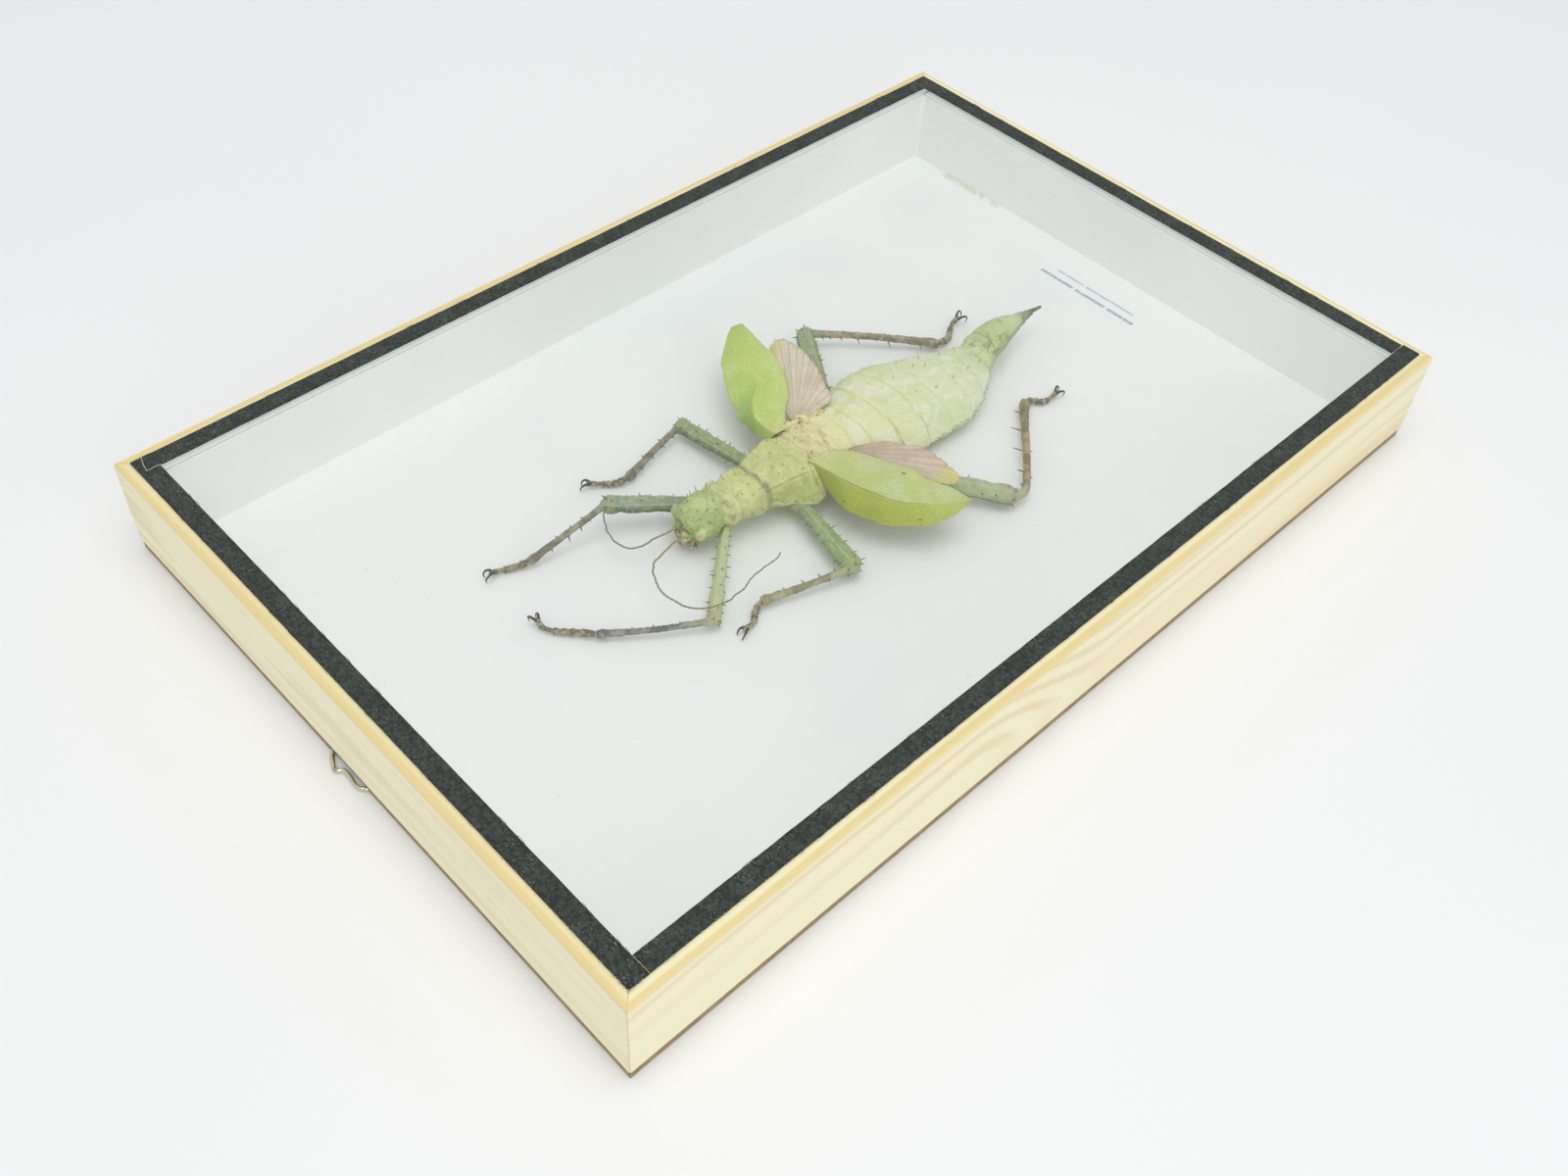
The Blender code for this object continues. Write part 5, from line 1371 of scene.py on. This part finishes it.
# Thorns of each shin: share of its length, side, rise and length
SHIN_THORNS = {
    "front_far": [(0.24, -1, 0.1, 0.9), (0.36, -1, 0.0, 1.7), (0.52, -1, 0.0, 2.0), (0.74, -1, 0.1, 1.5),
                  (0.3, 1, 0.4, 0.7), (0.62, 1, 0.4, 0.8), (0.44, 1, 0.5, 0.6)],
    "front_near": [(0.3, 1, 0.5, 0.5), (0.52, 1, 0.5, 0.7), (0.7, 1, 0.4, 0.6), (0.44, -1, 0.2, 0.6),
                   (0.85, 1, 0.4, 0.6)],
    "mid_far": [(0.22, -1, 0.2, 1.0), (0.4, -1, 0.2, 1.3), (0.6, -1, 0.1, 1.3), (0.8, -1, 0.1, 1.0),
                (0.35, 1, 0.3, 0.8), (0.66, 1, 0.3, 0.9)],
    "mid_near": [(0.2, 1, 0.5, 0.9), (0.36, 1, 0.5, 1.2), (0.54, 1, 0.4, 1.3), (0.75, 1, 0.4, 0.8),
                 (0.3, -1, 0.1, 0.8), (0.66, -1, 0.1, 0.8)],
    "hind_far": [(0.14, 1, 0.0, 1.7), (0.2, 1, 0.0, 1.5), (0.27, 1, 0.0, 1.8), (0.4, 1, -0.1, 2.6),
                 (0.53, 1, 0.0, 1.3), (0.62, 1, -0.1, 3.0), (0.86, 1, -0.1, 2.4), (0.3, -1, 0.5, 0.7),
                 (0.6, -1, 0.5, 0.7)],
    "hind_near": [(0.16, -1, 0.1, 1.0), (0.3, -1, 0.0, 2.1), (0.5, -1, 0.0, 3.5), (0.7, -1, 0.0, 3.7),
                  (0.88, -1, 0.0, 2.5), (0.5, 1, 0.3, 0.6), (0.24, 1, 0.3, 0.6)],
}
print("the shins have", sum(len(rows) for rows in SHIN_THORNS.values()), "thorns")

# %% Limbs, thorn rows and feet
def edged(depth, turn_by=0.0):
    """An outline with long edges: 0 is round, and 1 a flat-sided prism."""
    wedge = 2 * math.pi / EDGES

    def outline(share, angle):
        off = np.mod(angle + turn_by, wedge) - wedge / 2
        flat = math.cos(wedge / 2) / np.cos(off)
        return 1.06 * (1 - depth + depth * flat) + 0 * share
    return outline


def taper(shares, factors, count):
    return np.interp(steps(count), shares, factors)


def side_of(direction):
    return unit(np.cross(direction, (0.0, 0.0, 1.0)))


def thigh_thorns(seed):
    """Two rows of thorns along the thigh and a sparse one on top: share, side, rise and length."""
    own = np.random.default_rng(seed)
    rows = []
    for side in (-1, 1):
        for share in np.linspace(0.16, 0.94, 8):
            rows.append((share + own.uniform(-0.04, 0.04), side, own.uniform(-0.1, 0.7),
                         own.uniform(0.8, 1.8)))
    for share in np.linspace(0.3, 0.95, 4):
        rows.append((share + own.uniform(-0.04, 0.04), own.choice([-0.4, 0.4]), 1.0, own.uniform(0.5, 0.9)))
    return rows


def rough_rings(rings, size, depth, seed):
    """Rings with lumps of a given size and depth, both in millimetres."""
    middle = rings.mean(1, keepdims=True)
    return rings + unit(rings - middle) * (rough(rings, size * MM, 3, seed) * depth * MM)[..., None]


def add_limb(shells, line, radii, kind, sides, lumps, shape=None, seed=0.0):
    """A limb along a line, in millimetres, roughened by lumps given as size and depth."""
    rings = sweep(placed(line), np.asarray(radii) * MM, sides=sides, shape=shape)
    for size, depth in lumps:
        rings[1:-1] = rough_rings(rings[1:-1], size, depth, seed + size)
    share = np.concatenate([[0.0], steps(len(line)), [1.0]])[:, None]
    shells.add(rings, kind=kind, along=share, around=np.linspace(0, 1, sides, endpoint=False)[None, :])


def add_foot(leg, foot_line, seed, long_claws):
    """Five joints, each with two pointed pads under its end, then a cushion and two hooked claws."""
    for n, (first, last) in enumerate(zip(FOOT_JOINTS, FOOT_JOINTS[1:])):
        piece = foot_line[int(first * 59):int(last * 59) + 2]
        share = steps(len(piece))
        swell = 0.82 + 0.4 * share ** 2 - 0.3 * (share > 0.9)
        add_limb(leg, piece, FOOT_RADIUS * FOOT_SLIMMING[n] * swell, FOOT, sides=16, lumps=((0.6, 0.08),),
                 seed=seed + n)
        run = unit(piece[-1] - piece[0])
        for side in (-1, 1) if n < 4 else ():
            down = np.array([0, 0, -0.8]) + side_of(run) * side * 0.7 + run * 0.35
            add_thorn(leg, piece[-1] - run * 0.4, down, 1.3, 0.5)
    tip = foot_line[-1]
    ahead = unit(tip - foot_line[-8])
    across = side_of(ahead)
    leg.add(placed(ball(tip + ahead * 0.3, (0.8, 0.9, 0.7), 14, 18)), kind=FOOT, along=0.5)
    for side, reach in ((-1, 1.0), (1, 0.85)):
        curve = np.array([ahead * on + across * side * out + (0, 0, up) for on, out, up in CLAW_BEND])
        curve = tip + curve * reach * long_claws * CLAW_LENGTH / CLAW_DRAWN
        curve[:, 2] = np.maximum(curve[:, 2], CLAW_TABLE)
        radii = 0.46 * np.linspace(1.0, 0.12, 22) ** 0.8
        add_limb(leg, even_line(curve, 22), radii, CLAW, sides=10, lumps=())


# %% Whole legs
def add_thorn_row(leg, begin, end, rows, foot, spot_and_swell):
    """Thorns on a limb. spot_and_swell gives the limb's middle and half-width at a share of its length."""
    run = unit(end - begin)
    across = side_of(run)
    for share, side, rise, length in rows:
        facing = unit(across * side + np.cross(across, run) * rise)
        spot, swell, radius = spot_and_swell(share)
        add_thorn(leg, spot + facing * swell * 0.75, facing + run * 0.3, length + radius * 0.25, foot,
                  bend=0.08)


def make_leg(name, number):
    thigh_radius, shin_radius, slim, hip, knee, shin_points, foot = LEGS[name]
    hip, knee = np.array(hip), np.array(knee)
    thigh = unit(knee - hip)
    shin = unit(shin_points[0] - knee)
    leg = Shells("kind", "along", "around")
    line = hip + (knee + thigh * 0.9 - hip) * steps(100)[:, None]
    grows = slim + (1 - slim) * np.clip(np.linspace(0, 1.25, 100), 0, 1) ** 0.8
    add_limb(leg, line, thigh_radius * grows * taper(THIGH_SHARES, THIGH_TAPER, 100), THIGH, sides=50,
             shape=edged(0.75), lumps=((4.0, 0.3), (1.0, 0.16)), seed=number * 7.0)
    leg.add(placed(ball(knee + thigh * 0.6, (thigh_radius * 0.62,) * 3)), kind=SHIN, along=0.1)
    coxa_radii = np.array([1.0, 1.1, 0.9]) * thigh_radius
    coxa = ball(hip + thigh * 0.6 + (0, 0, 0.5), coxa_radii, 30, 40)
    leg.add(rough_rings(placed(coxa), 1.4, 0.35, number * 9.0), kind=THIGH, along=0.95, around=0.1)
    line = even_line([knee + thigh * 0.4 - shin * 0.2, *shin_points], 90)
    add_limb(leg, line, shin_radius * taper(SHIN_SHARES, SHIN_TAPER, 90), SHIN, sides=30,
             shape=edged(0.5, 0.5), lumps=((2.2, 0.14), (0.8, 0.12)), seed=number * 5.0)
    add_foot(leg, even_line([line[-3], *foot], 61), number * 3.0, LONG_CLAWS.get(name, 1.0))
    across = side_of(thigh)
    for side, rise in ((-1, 0.5), (1, 0.5), (-0.8, -0.6), (0.8, -0.6), (0, 1.0)):
        out = unit(across * side + np.cross(across, thigh) * rise)
        add_thorn(leg, knee + thigh * 0.4 + out * thigh_radius * 0.75, out * 0.6 + thigh, 1.4, 0.32)
    add_thorn_row(leg, hip, knee, thigh_thorns(40 + number), 0.28, lambda share: (
        hip + (knee - hip) * share, thigh_radius * (slim + (1 - slim) * share), thigh_radius))
    add_thorn_row(leg, line[0], line[-1], SHIN_THORNS[name], 0.36, lambda share: (
        line[int(share * 89)], shin_radius * 0.85, shin_radius))
    return leg


# %% [markdown]
# ## Leg colours
# The mesh says which limb a point is on, so one finish paints the whole leg: the thigh's upper half is
# painted paler than its lower half, as painted light and shade, a pale line follows each long edge, and
# the brown of shin and foot is broken by green and by near-black blotches.

# %% Leg finish
def leg_finish(name, thigh_lit_top, thigh_shaded_underside, shin_light, shin_dark):
    finish = Finish(name, Specular_IOR_Level=0.3)
    kind, along, around = (finish.mark(held) for held in ("kind", "along", "around"))
    blotches = finish.clouds(0.0035, detail=4.0, warp=0.5)
    mottled = finish.clouds(0.0016, detail=4.0, warp=0.4).eased(0.46, 0.62)
    ridge = abs((around * (EDGES * math.pi)).sine()).near(0.0, 0.22)

    # painted light and shade: the thigh's upper half is paler, its lower half darker
    upper = (around * (2 * math.pi)).sine().eased(-0.3, 0.45)
    finish.coat(upper * 0.85 + blotches * 0.5 - 0.25, thigh_lit_top, under=thigh_shaded_underside)
    finish.coat(mottled * 0.3, (206, 208, 160))
    finish.coat(ridge * 0.5, (212, 212, 162))
    finish.coat(along.eased(0.88, 0.97) * 0.45, (176, 170, 116))
    thigh = finish.colour

    finish.coat(blotches.eased(0.4, 0.6), shin_light, under=shin_dark)
    finish.coat(ridge * 0.3, (196, 188, 158))
    finish.coat(mottled * 0.22, (140, 144, 100))
    finish.coat(along.eased(0.24, 0.03) * 0.7, thigh_lit_top)
    shin = finish.colour

    foot = finish.blend(finish.clouds(0.0014, detail=2.0).eased(0.42, 0.62), (114, 108, 92), (172, 162, 132))
    thorn_tone = finish.ramp(along, [(0.1, thigh_lit_top), (0.45, (118, 118, 92)), (1.0, (70, 70, 58))])
    claw = finish.blend(finish.clouds(0.0008) * 0.5, (52, 58, 58), (104, 98, 80))
    finish.colour = thigh
    for below, tone in ((THIGH, shin), (SHIN, foot), (FOOT, thorn_tone), (THORN, claw)):
        finish.coat(kind.eased(below + 0.4, below + 0.6), tone)
    grain = finish.clouds(0.0006, detail=4.0, roughness=0.75)
    finish.coat(grain.eased(0.55, 0.72) * 0.4, (220, 218, 184))
    finish.coat(grain.eased(0.44, 0.3) * 0.3, (92, 104, 66))
    return finish.paint((grain, 0.00016), Roughness=0.48 + blotches * 0.16)


# Each leg's tones: thigh's painted-light top and painted-shade underside, shin light and dark
LEG_TONES = {
    "front_far": ((148, 162, 140), (84, 112, 100), (166, 160, 136), (118, 114, 100)),
    "front_near": ((196, 202, 158), (164, 178, 130), (160, 156, 148), (98, 100, 102)),
    "mid_far": ((148, 166, 120), (96, 124, 94), (156, 150, 126), (110, 108, 92)),
    "mid_near": ((158, 178, 128), (90, 126, 90), (180, 176, 138), (146, 140, 112)),
    "hind_far": ((152, 168, 130), (104, 128, 94), (190, 177, 152), (138, 127, 108)),
    "hind_near": ((182, 192, 156), (122, 144, 112), (176, 160, 126), (130, 116, 90)),
}
for number, (name, tones) in enumerate(LEG_TONES.items()):
    make_leg(name, number).build("insect_leg_" + name, leg_finish("leg_" + name, *tones), "cuticle", "insect")

# %% [markdown]
# ## Fore wings
# The two fore wings are leathery leaves folded along a keel. The far one stands almost flat to the camera,
# the near one shows its pale rear field above and its bright front field hanging below the keel. A skin
# bends from the rear edge to the keel and again from the keel to the front edge, which leaves the crease
# sharp, and Solidify gives it the thickness of stiff paper. Past a share of its length the crease fades.

# %% Fore wing shapes
WING_ROWS = 170
FIELD_COLUMNS = 44
WING_THICKNESS = 0.3
CREASE_ENDS = {"near": 2.0, "far": 0.14}


def bent(first, middle, last, columns):
    """Columns between two lines, arched towards a middle line."""
    t = steps(columns)[None, :, None]
    pull = 2 * middle - (first + last) / 2
    return first[:, None] * (1 - t) ** 2 + 2 * pull[:, None] * t * (1 - t) + last[:, None] * t ** 2


def thicken(piece, thickness):
    """Solidify, half to each side."""
    solidify = piece.modifiers.new("thickness", "SOLIDIFY")
    solidify.thickness = thickness * MM
    solidify.offset = 0.0


def make_fore_wing(side):
    rear, keel, front = (even_line(line, WING_ROWS) for line in FORE_WINGS[side])
    share = steps(WING_ROWS)[:, None]
    swell = np.sin(math.pi * share) ** 0.7
    crown = (rear + keel) / 2 + np.array([0, 0, 0.75]) * swell
    brow = (keel + front) / 2 + np.array([0, 0.4, 0.5]) * swell
    creased = np.concatenate([bent(rear, crown, keel, FIELD_COLUMNS),
                              bent(keel, brow, front, FIELD_COLUMNS)[:, 1:]], axis=1)
    columns = creased.shape[1]
    rounded = bent(rear, (rear + front) / 2 + np.array([0, 0, 2.4]) * swell, front, columns)
    softer = np.clip((share - CREASE_ENDS[side]) / 0.3, 0, 1)[..., None]
    points = placed(creased + (rounded - creased) * softer)
    chord = steps(columns)[None, :]
    ripple = rough(points * (1.0, 1.0, 0.3), 0.0065, 3, 21.0)
    fine = rough(points, 0.0012, 2, 23.0)
    veins = np.sin(chord * math.pi * 34)
    points[..., 2] += (ripple * 0.3 * swell + fine * 0.05 + veins * 0.03 * swell) * MM
    rim = np.exp(-chord / 0.015) - np.exp(-(1 - chord) / 0.015)
    nibbled = rough(points, 0.0021, 3, 27.0) * 0.28 * rim * swell
    points[..., :2] += nibbled[..., None] * unit(rear - front)[:, None, :2] * MM
    wing = Shells("span", "chord")
    wing.add(points, wrap=False, span=share, chord=chord)
    return wing


# %% [markdown]
# ## Fore wing colours
# Bright leaf green, yellower near the tip and along the edges, with fine veins running its length, a few
# cross veins and small brown specks. Each wing has its own balance of pale rear field and deeper front field,
# the front's deeper green and its olive near the root being painted shade on the field that hangs below the
# keel, a dark line painted as shade along the crease, and its own few marks, placed by their share of the
# length and of the width.

# %% Fore wing finish
def fore_wing_finish(name, rear_tone, middle_tone, front_field_shade_tone, edge_tone, pale_tone, sunny_tone,
                     crease_end, marks):
    finish = Finish(name, Specular_IOR_Level=0.35)
    span = finish.mark("span")
    chord = finish.mark("chord")
    drift = finish.clouds(0.007) * 0.14 - 0.07
    finish.coat((chord + drift).eased(0.1, 0.4), middle_tone, under=rear_tone)
    # painted shade: the front field below the keel gets a deeper green, fading where the crease fades
    front = (chord + drift * 0.4).eased(0.49, 0.54) * (span + drift).eased(crease_end + 0.5, crease_end)
    finish.coat(front, front_field_shade_tone)
    sunny = finish.clouds(0.006, stretch=(0.6, 1.0, 1.0)).eased(0.48, 0.66)
    finish.coat(sunny * (1 - front) * 0.5, sunny_tone)
    finish.coat(finish.clouds(0.0085, warp=0.4).eased(0.5, 0.66) * (1 - front) * 0.6, pale_tone)
    finish.coat((span + drift).eased(0.2, 0.03) * (1 - front) * 0.55, (222, 214, 156))
    # painted shade: the front field darkens to olive near the root
    finish.coat(front * (span + drift).eased(0.42, 0.1) * 0.35, (140, 156, 76))
    # painted shade: a dark line along the keel's crease, fading past crease_end
    crease = chord.near(0.5, 0.016) * span.eased(crease_end + 0.2, crease_end)
    finish.coat(crease * 0.6, (140, 130, 68))
    rim = chord.eased(0.05, 0.0).most(chord.eased(0.97, 1.0)).most(span.eased(0.94, 1.0))
    finish.coat(rim * 0.6, edge_tone)
    long_veins = ((chord + drift * 0.1) * (math.pi * 2 * 17)).sine().eased(0.62, 1.0)
    net = finish.net(0.0013, 0.09, 0.02)
    finish.coat(long_veins * 0.18, (230, 232, 178))
    finish.coat(net * 0.16, (150, 172, 92))
    speck = finish.clouds(0.0012, detail=2.0).eased(0.68, 0.75)
    finish.coat(speck * finish.clouds(0.008, detail=1.0).eased(0.46, 0.56) * 0.6, (152, 138, 72))
    grain = finish.clouds(0.0006, roughness=0.75)
    finish.coat(grain.eased(0.54, 0.7) * 0.3, (226, 230, 168))
    finish.coat(grain.eased(0.45, 0.32) * 0.3, (140, 160, 70))
    for at_span, at_chord, half_long, half_wide, tone in marks:
        along = (span - at_span) / half_long
        across = (chord - at_chord) / half_wide
        ragged = along * along + across * across + finish.clouds(0.0009) * 0.8 - 0.4
        finish.coat(ragged.eased(1.0, 0.4) * 0.8, tone)
    return finish.paint((long_veins * 0.6 + net * 0.4 + grain * 0.7, 0.00009), Roughness=0.42 + drift)


DARK_MARK = (112, 104, 62)
WHITE_MARK = (244, 246, 232)
# Marks: share of the length, share of the width, half-length, half-width and tone
WING_TONES = {
    "near": dict(rear_tone=(200, 208, 142), middle_tone=(192, 204, 120), front_field_shade_tone=(178, 190, 70),
                 edge_tone=(206, 202, 126), pale_tone=(206, 214, 168), sunny_tone=(214, 212, 112),
                 crease_end=0.62,
                 marks=[(0.57, 0.12, 0.018, 0.02, DARK_MARK), (0.7, 0.86, 0.012, 0.024, DARK_MARK),
                        (0.955, 0.45, 0.008, 0.05, WHITE_MARK), (0.68, 0.66, 0.005, 0.01, WHITE_MARK),
                        (0.3, 0.87, 0.01, 0.02, DARK_MARK)]),
    "far": dict(rear_tone=(198, 214, 130), middle_tone=(186, 212, 106), front_field_shade_tone=(164, 196, 100),
                edge_tone=(196, 202, 126), pale_tone=(208, 220, 152), sunny_tone=(208, 216, 118),
                crease_end=0.16,
                marks=[(0.62, 0.4, 0.006, 0.012, WHITE_MARK), (0.2, 0.5, 0.02, 0.014, (186, 172, 106)),
                       (0.06, 0.4, 0.04, 0.12, (208, 198, 130))]),
}
for side, tones in WING_TONES.items():
    paint = fore_wing_finish("fore_wing_" + side, **tones)
    wing = make_fore_wing(side).build("insect_fore_wing_" + side, paint, "cuticle", "insect")
    thicken(wing, WING_THICKNESS)

# %% [markdown]
# ## Hind wings
# Behind each fore wing a pink fan shows, pleated like paper, its reddish veins spreading from the root.
# The card is faintly seen through it, so it has a little less than full Alpha.

# %% Hind wing shapes
FAN_PLEATS = 9
FAN_ROWS = 80
FAN_COLUMNS = 216
FAN_THICKNESS = 0.12


def make_hind_wing(side):
    root, edge = HIND_WINGS[side]
    out = even_line(edge, FAN_COLUMNS) - np.array(root)
    reach = np.linspace(0.02, 1.0, FAN_ROWS)[:, None]
    ray = steps(FAN_COLUMNS)[None, :]
    scallop = 0.25 * np.cos(ray * FAN_PLEATS * 4 * math.pi)[..., None] - 0.2
    points = (np.array(root) + out[None] * reach[..., None]
              + unit(out)[None] * scallop * (reach ** 6)[..., None])
    fold = np.arcsin(np.sin(ray * FAN_PLEATS * 2 * math.pi)) / (math.pi / 2)
    points[..., 2] += 0.3 * fold * reach + 0.6 * np.sin(reach * math.pi)
    points = placed(points)
    points[..., 2] += rough(points, 0.005, 3, 31.0) * 0.0003 * reach
    wing = Shells("reach", "ray")
    wing.add(points, wrap=False, reach=reach, ray=ray)
    return wing


# %% Hind wing finish
def hind_wing_finish(name, lobe_from, lobe_to, cream_until, fan_painted_shade):
    finish = Finish(name, Roughness=0.5, Specular_IOR_Level=0.3, Alpha=0.93)
    reach = finish.mark("reach")
    ray = finish.mark("ray")
    finish.coat(finish.clouds(0.005).eased(0.35, 0.65), (220, 204, 182), under=(232, 224, 202))
    finish.coat(ray.eased(cream_until, cream_until * 0.3) * 0.8, (228, 224, 196))
    # painted shade: the fan is browned in soft patches, only on the near fan
    finish.coat(finish.clouds(0.003).eased(0.3, 0.7, 0.6, 1.0) * fan_painted_shade, (194, 168, 136))
    swing = abs((ray * (FAN_PLEATS * 2 * math.pi)).sine())
    veins = swing.near(1.0, 0.10).most(swing.near(0.0, 0.14) * 0.8)
    finish.coat(veins * 0.5, (198, 156, 132))
    finish.coat(finish.net(0.0015, 0.08, 0.02) * 0.2, (204, 166, 146))
    finish.coat(reach.eased(0.3, 0.03) * 0.5, (222, 204, 152))
    finish.coat(reach.eased(0.965, 1.0) * 0.5, (196, 146, 130))
    finish.coat(ray.eased(lobe_from, lobe_to) * reach.eased(0.78, 0.92) * 0.9, (216, 212, 130))
    grain = finish.clouds(0.0006, roughness=0.7)
    finish.coat(grain.eased(0.5, 0.7) * 0.25, (238, 226, 208))
    return finish.paint((veins + grain * 0.4, 0.00007))


# Where the yellow lobe starts and ends, how far the cream front edge reaches, and how much painted shade
# browns the fan
LOBES = {"near": (0.3, 0.2, 0.1, 0.45), "far": (0.36, 0.24, 0.66, 0.0)}
for side, places in LOBES.items():
    paint = hind_wing_finish("hind_wing_" + side, *places)
    wing = make_hind_wing(side).build("insect_hind_wing_" + side, paint, "cuticle", "insect")
    thicken(wing, FAN_THICKNESS)

# %% [markdown]
# ## Wing hinges
# Where the wings spring from the body, their thin skin has dried into a crumpled cream roll with brown
# hollows. Two short limbs, roughened far more than the legs, lie along the body under the wing roots.

# %% Wing hinges
# Each hinge: its half-width and its line
HINGES = {
    "far": (1.9, [(11.6, 3.8, 14.9), (10.8, 1.0, 15.3), (10.0, -3.0, 15.6), (9.0, -7.5, 15.4),
                  (8.6, -12.0, 14.9)]),
    "near": (1.3, [(-2.6, 6.4, 17.2), (-4.4, 4.0, 17.0), (-6.0, 0.0, 16.5), (-7.6, -4.0, 15.9),
                   (-9.0, -9.0, 15.0)]),
}
hinges = Shells()
for radius, points in HINGES.values():
    swell = 0.75 + 0.25 * np.sin(np.linspace(0.4, 2.7, 110))
    rings = sweep(placed(even_line(points, 110)), radius * MM * swell, sides=54)
    rings[1:-1] = rough_rings(rough_rings(rings[1:-1], 2.4, 0.8, 61.0), 0.8, 0.35, 67.0)
    hinges.add(rings)
finish = Finish("wing_hinge", Specular_IOR_Level=0.3, Roughness=0.55)
crumple = finish.clouds(0.0018, detail=4.0, warp=0.8)
finish.colour = finish.ramp(crumple, [(0.36, (150, 120, 72)), (0.46, (214, 200, 140)),
                                      (0.62, (238, 230, 190))])
paint = finish.paint((finish.clouds(0.0006) + crumple, 0.0002))
hinges.build("insect_wing_hinges", paint, "cuticle", "insect")

# %% [markdown]
# ## Antennae
# Two long threads of many short joints, thicker at the root. Every joint is a slight swelling, which a
# ripple in the radius draws.

# %% Antennae
FEELER_RADIUS = 0.24
FEELER_POINTS = 300
FEELER_JOINTS = 46
feelers = Shells("along")
for points in ANTENNAE.values():
    line = even_line(points, FEELER_POINTS)
    share = steps(FEELER_POINTS)
    line = line + rough(placed(line), 0.003, 2, 51.0)[:, None] * (0.35, 0.35, 0.0)
    radius = FEELER_RADIUS * (1.15 - 0.5 * share) * (1 + 0.14 * np.sin(share * 2 * math.pi * FEELER_JOINTS))
    radius[:14] *= np.linspace(1.9, 1.0, 14)
    feelers.add(sweep(placed(line), radius * MM, sides=10), along=np.concatenate([[0], share, [1]])[:, None])

finish = Finish("feeler_cuticle", Roughness=0.5)
finish.colour = finish.ramp(finish.mark("along"), [(0.0, (168, 160, 114)), (0.25, (150, 138, 100)),
                                                   (1.0, (122, 108, 78))])
finish.coat(finish.clouds(0.002) * 0.4, (98, 88, 62))
feelers.build("insect_feelers", finish.paint(), "cuticle", "insect")

# %% [markdown]
# ## The end
# Last, the view layer is updated, so every piece stands where it was put.

# %% Finish
bpy.context.view_layer.update()
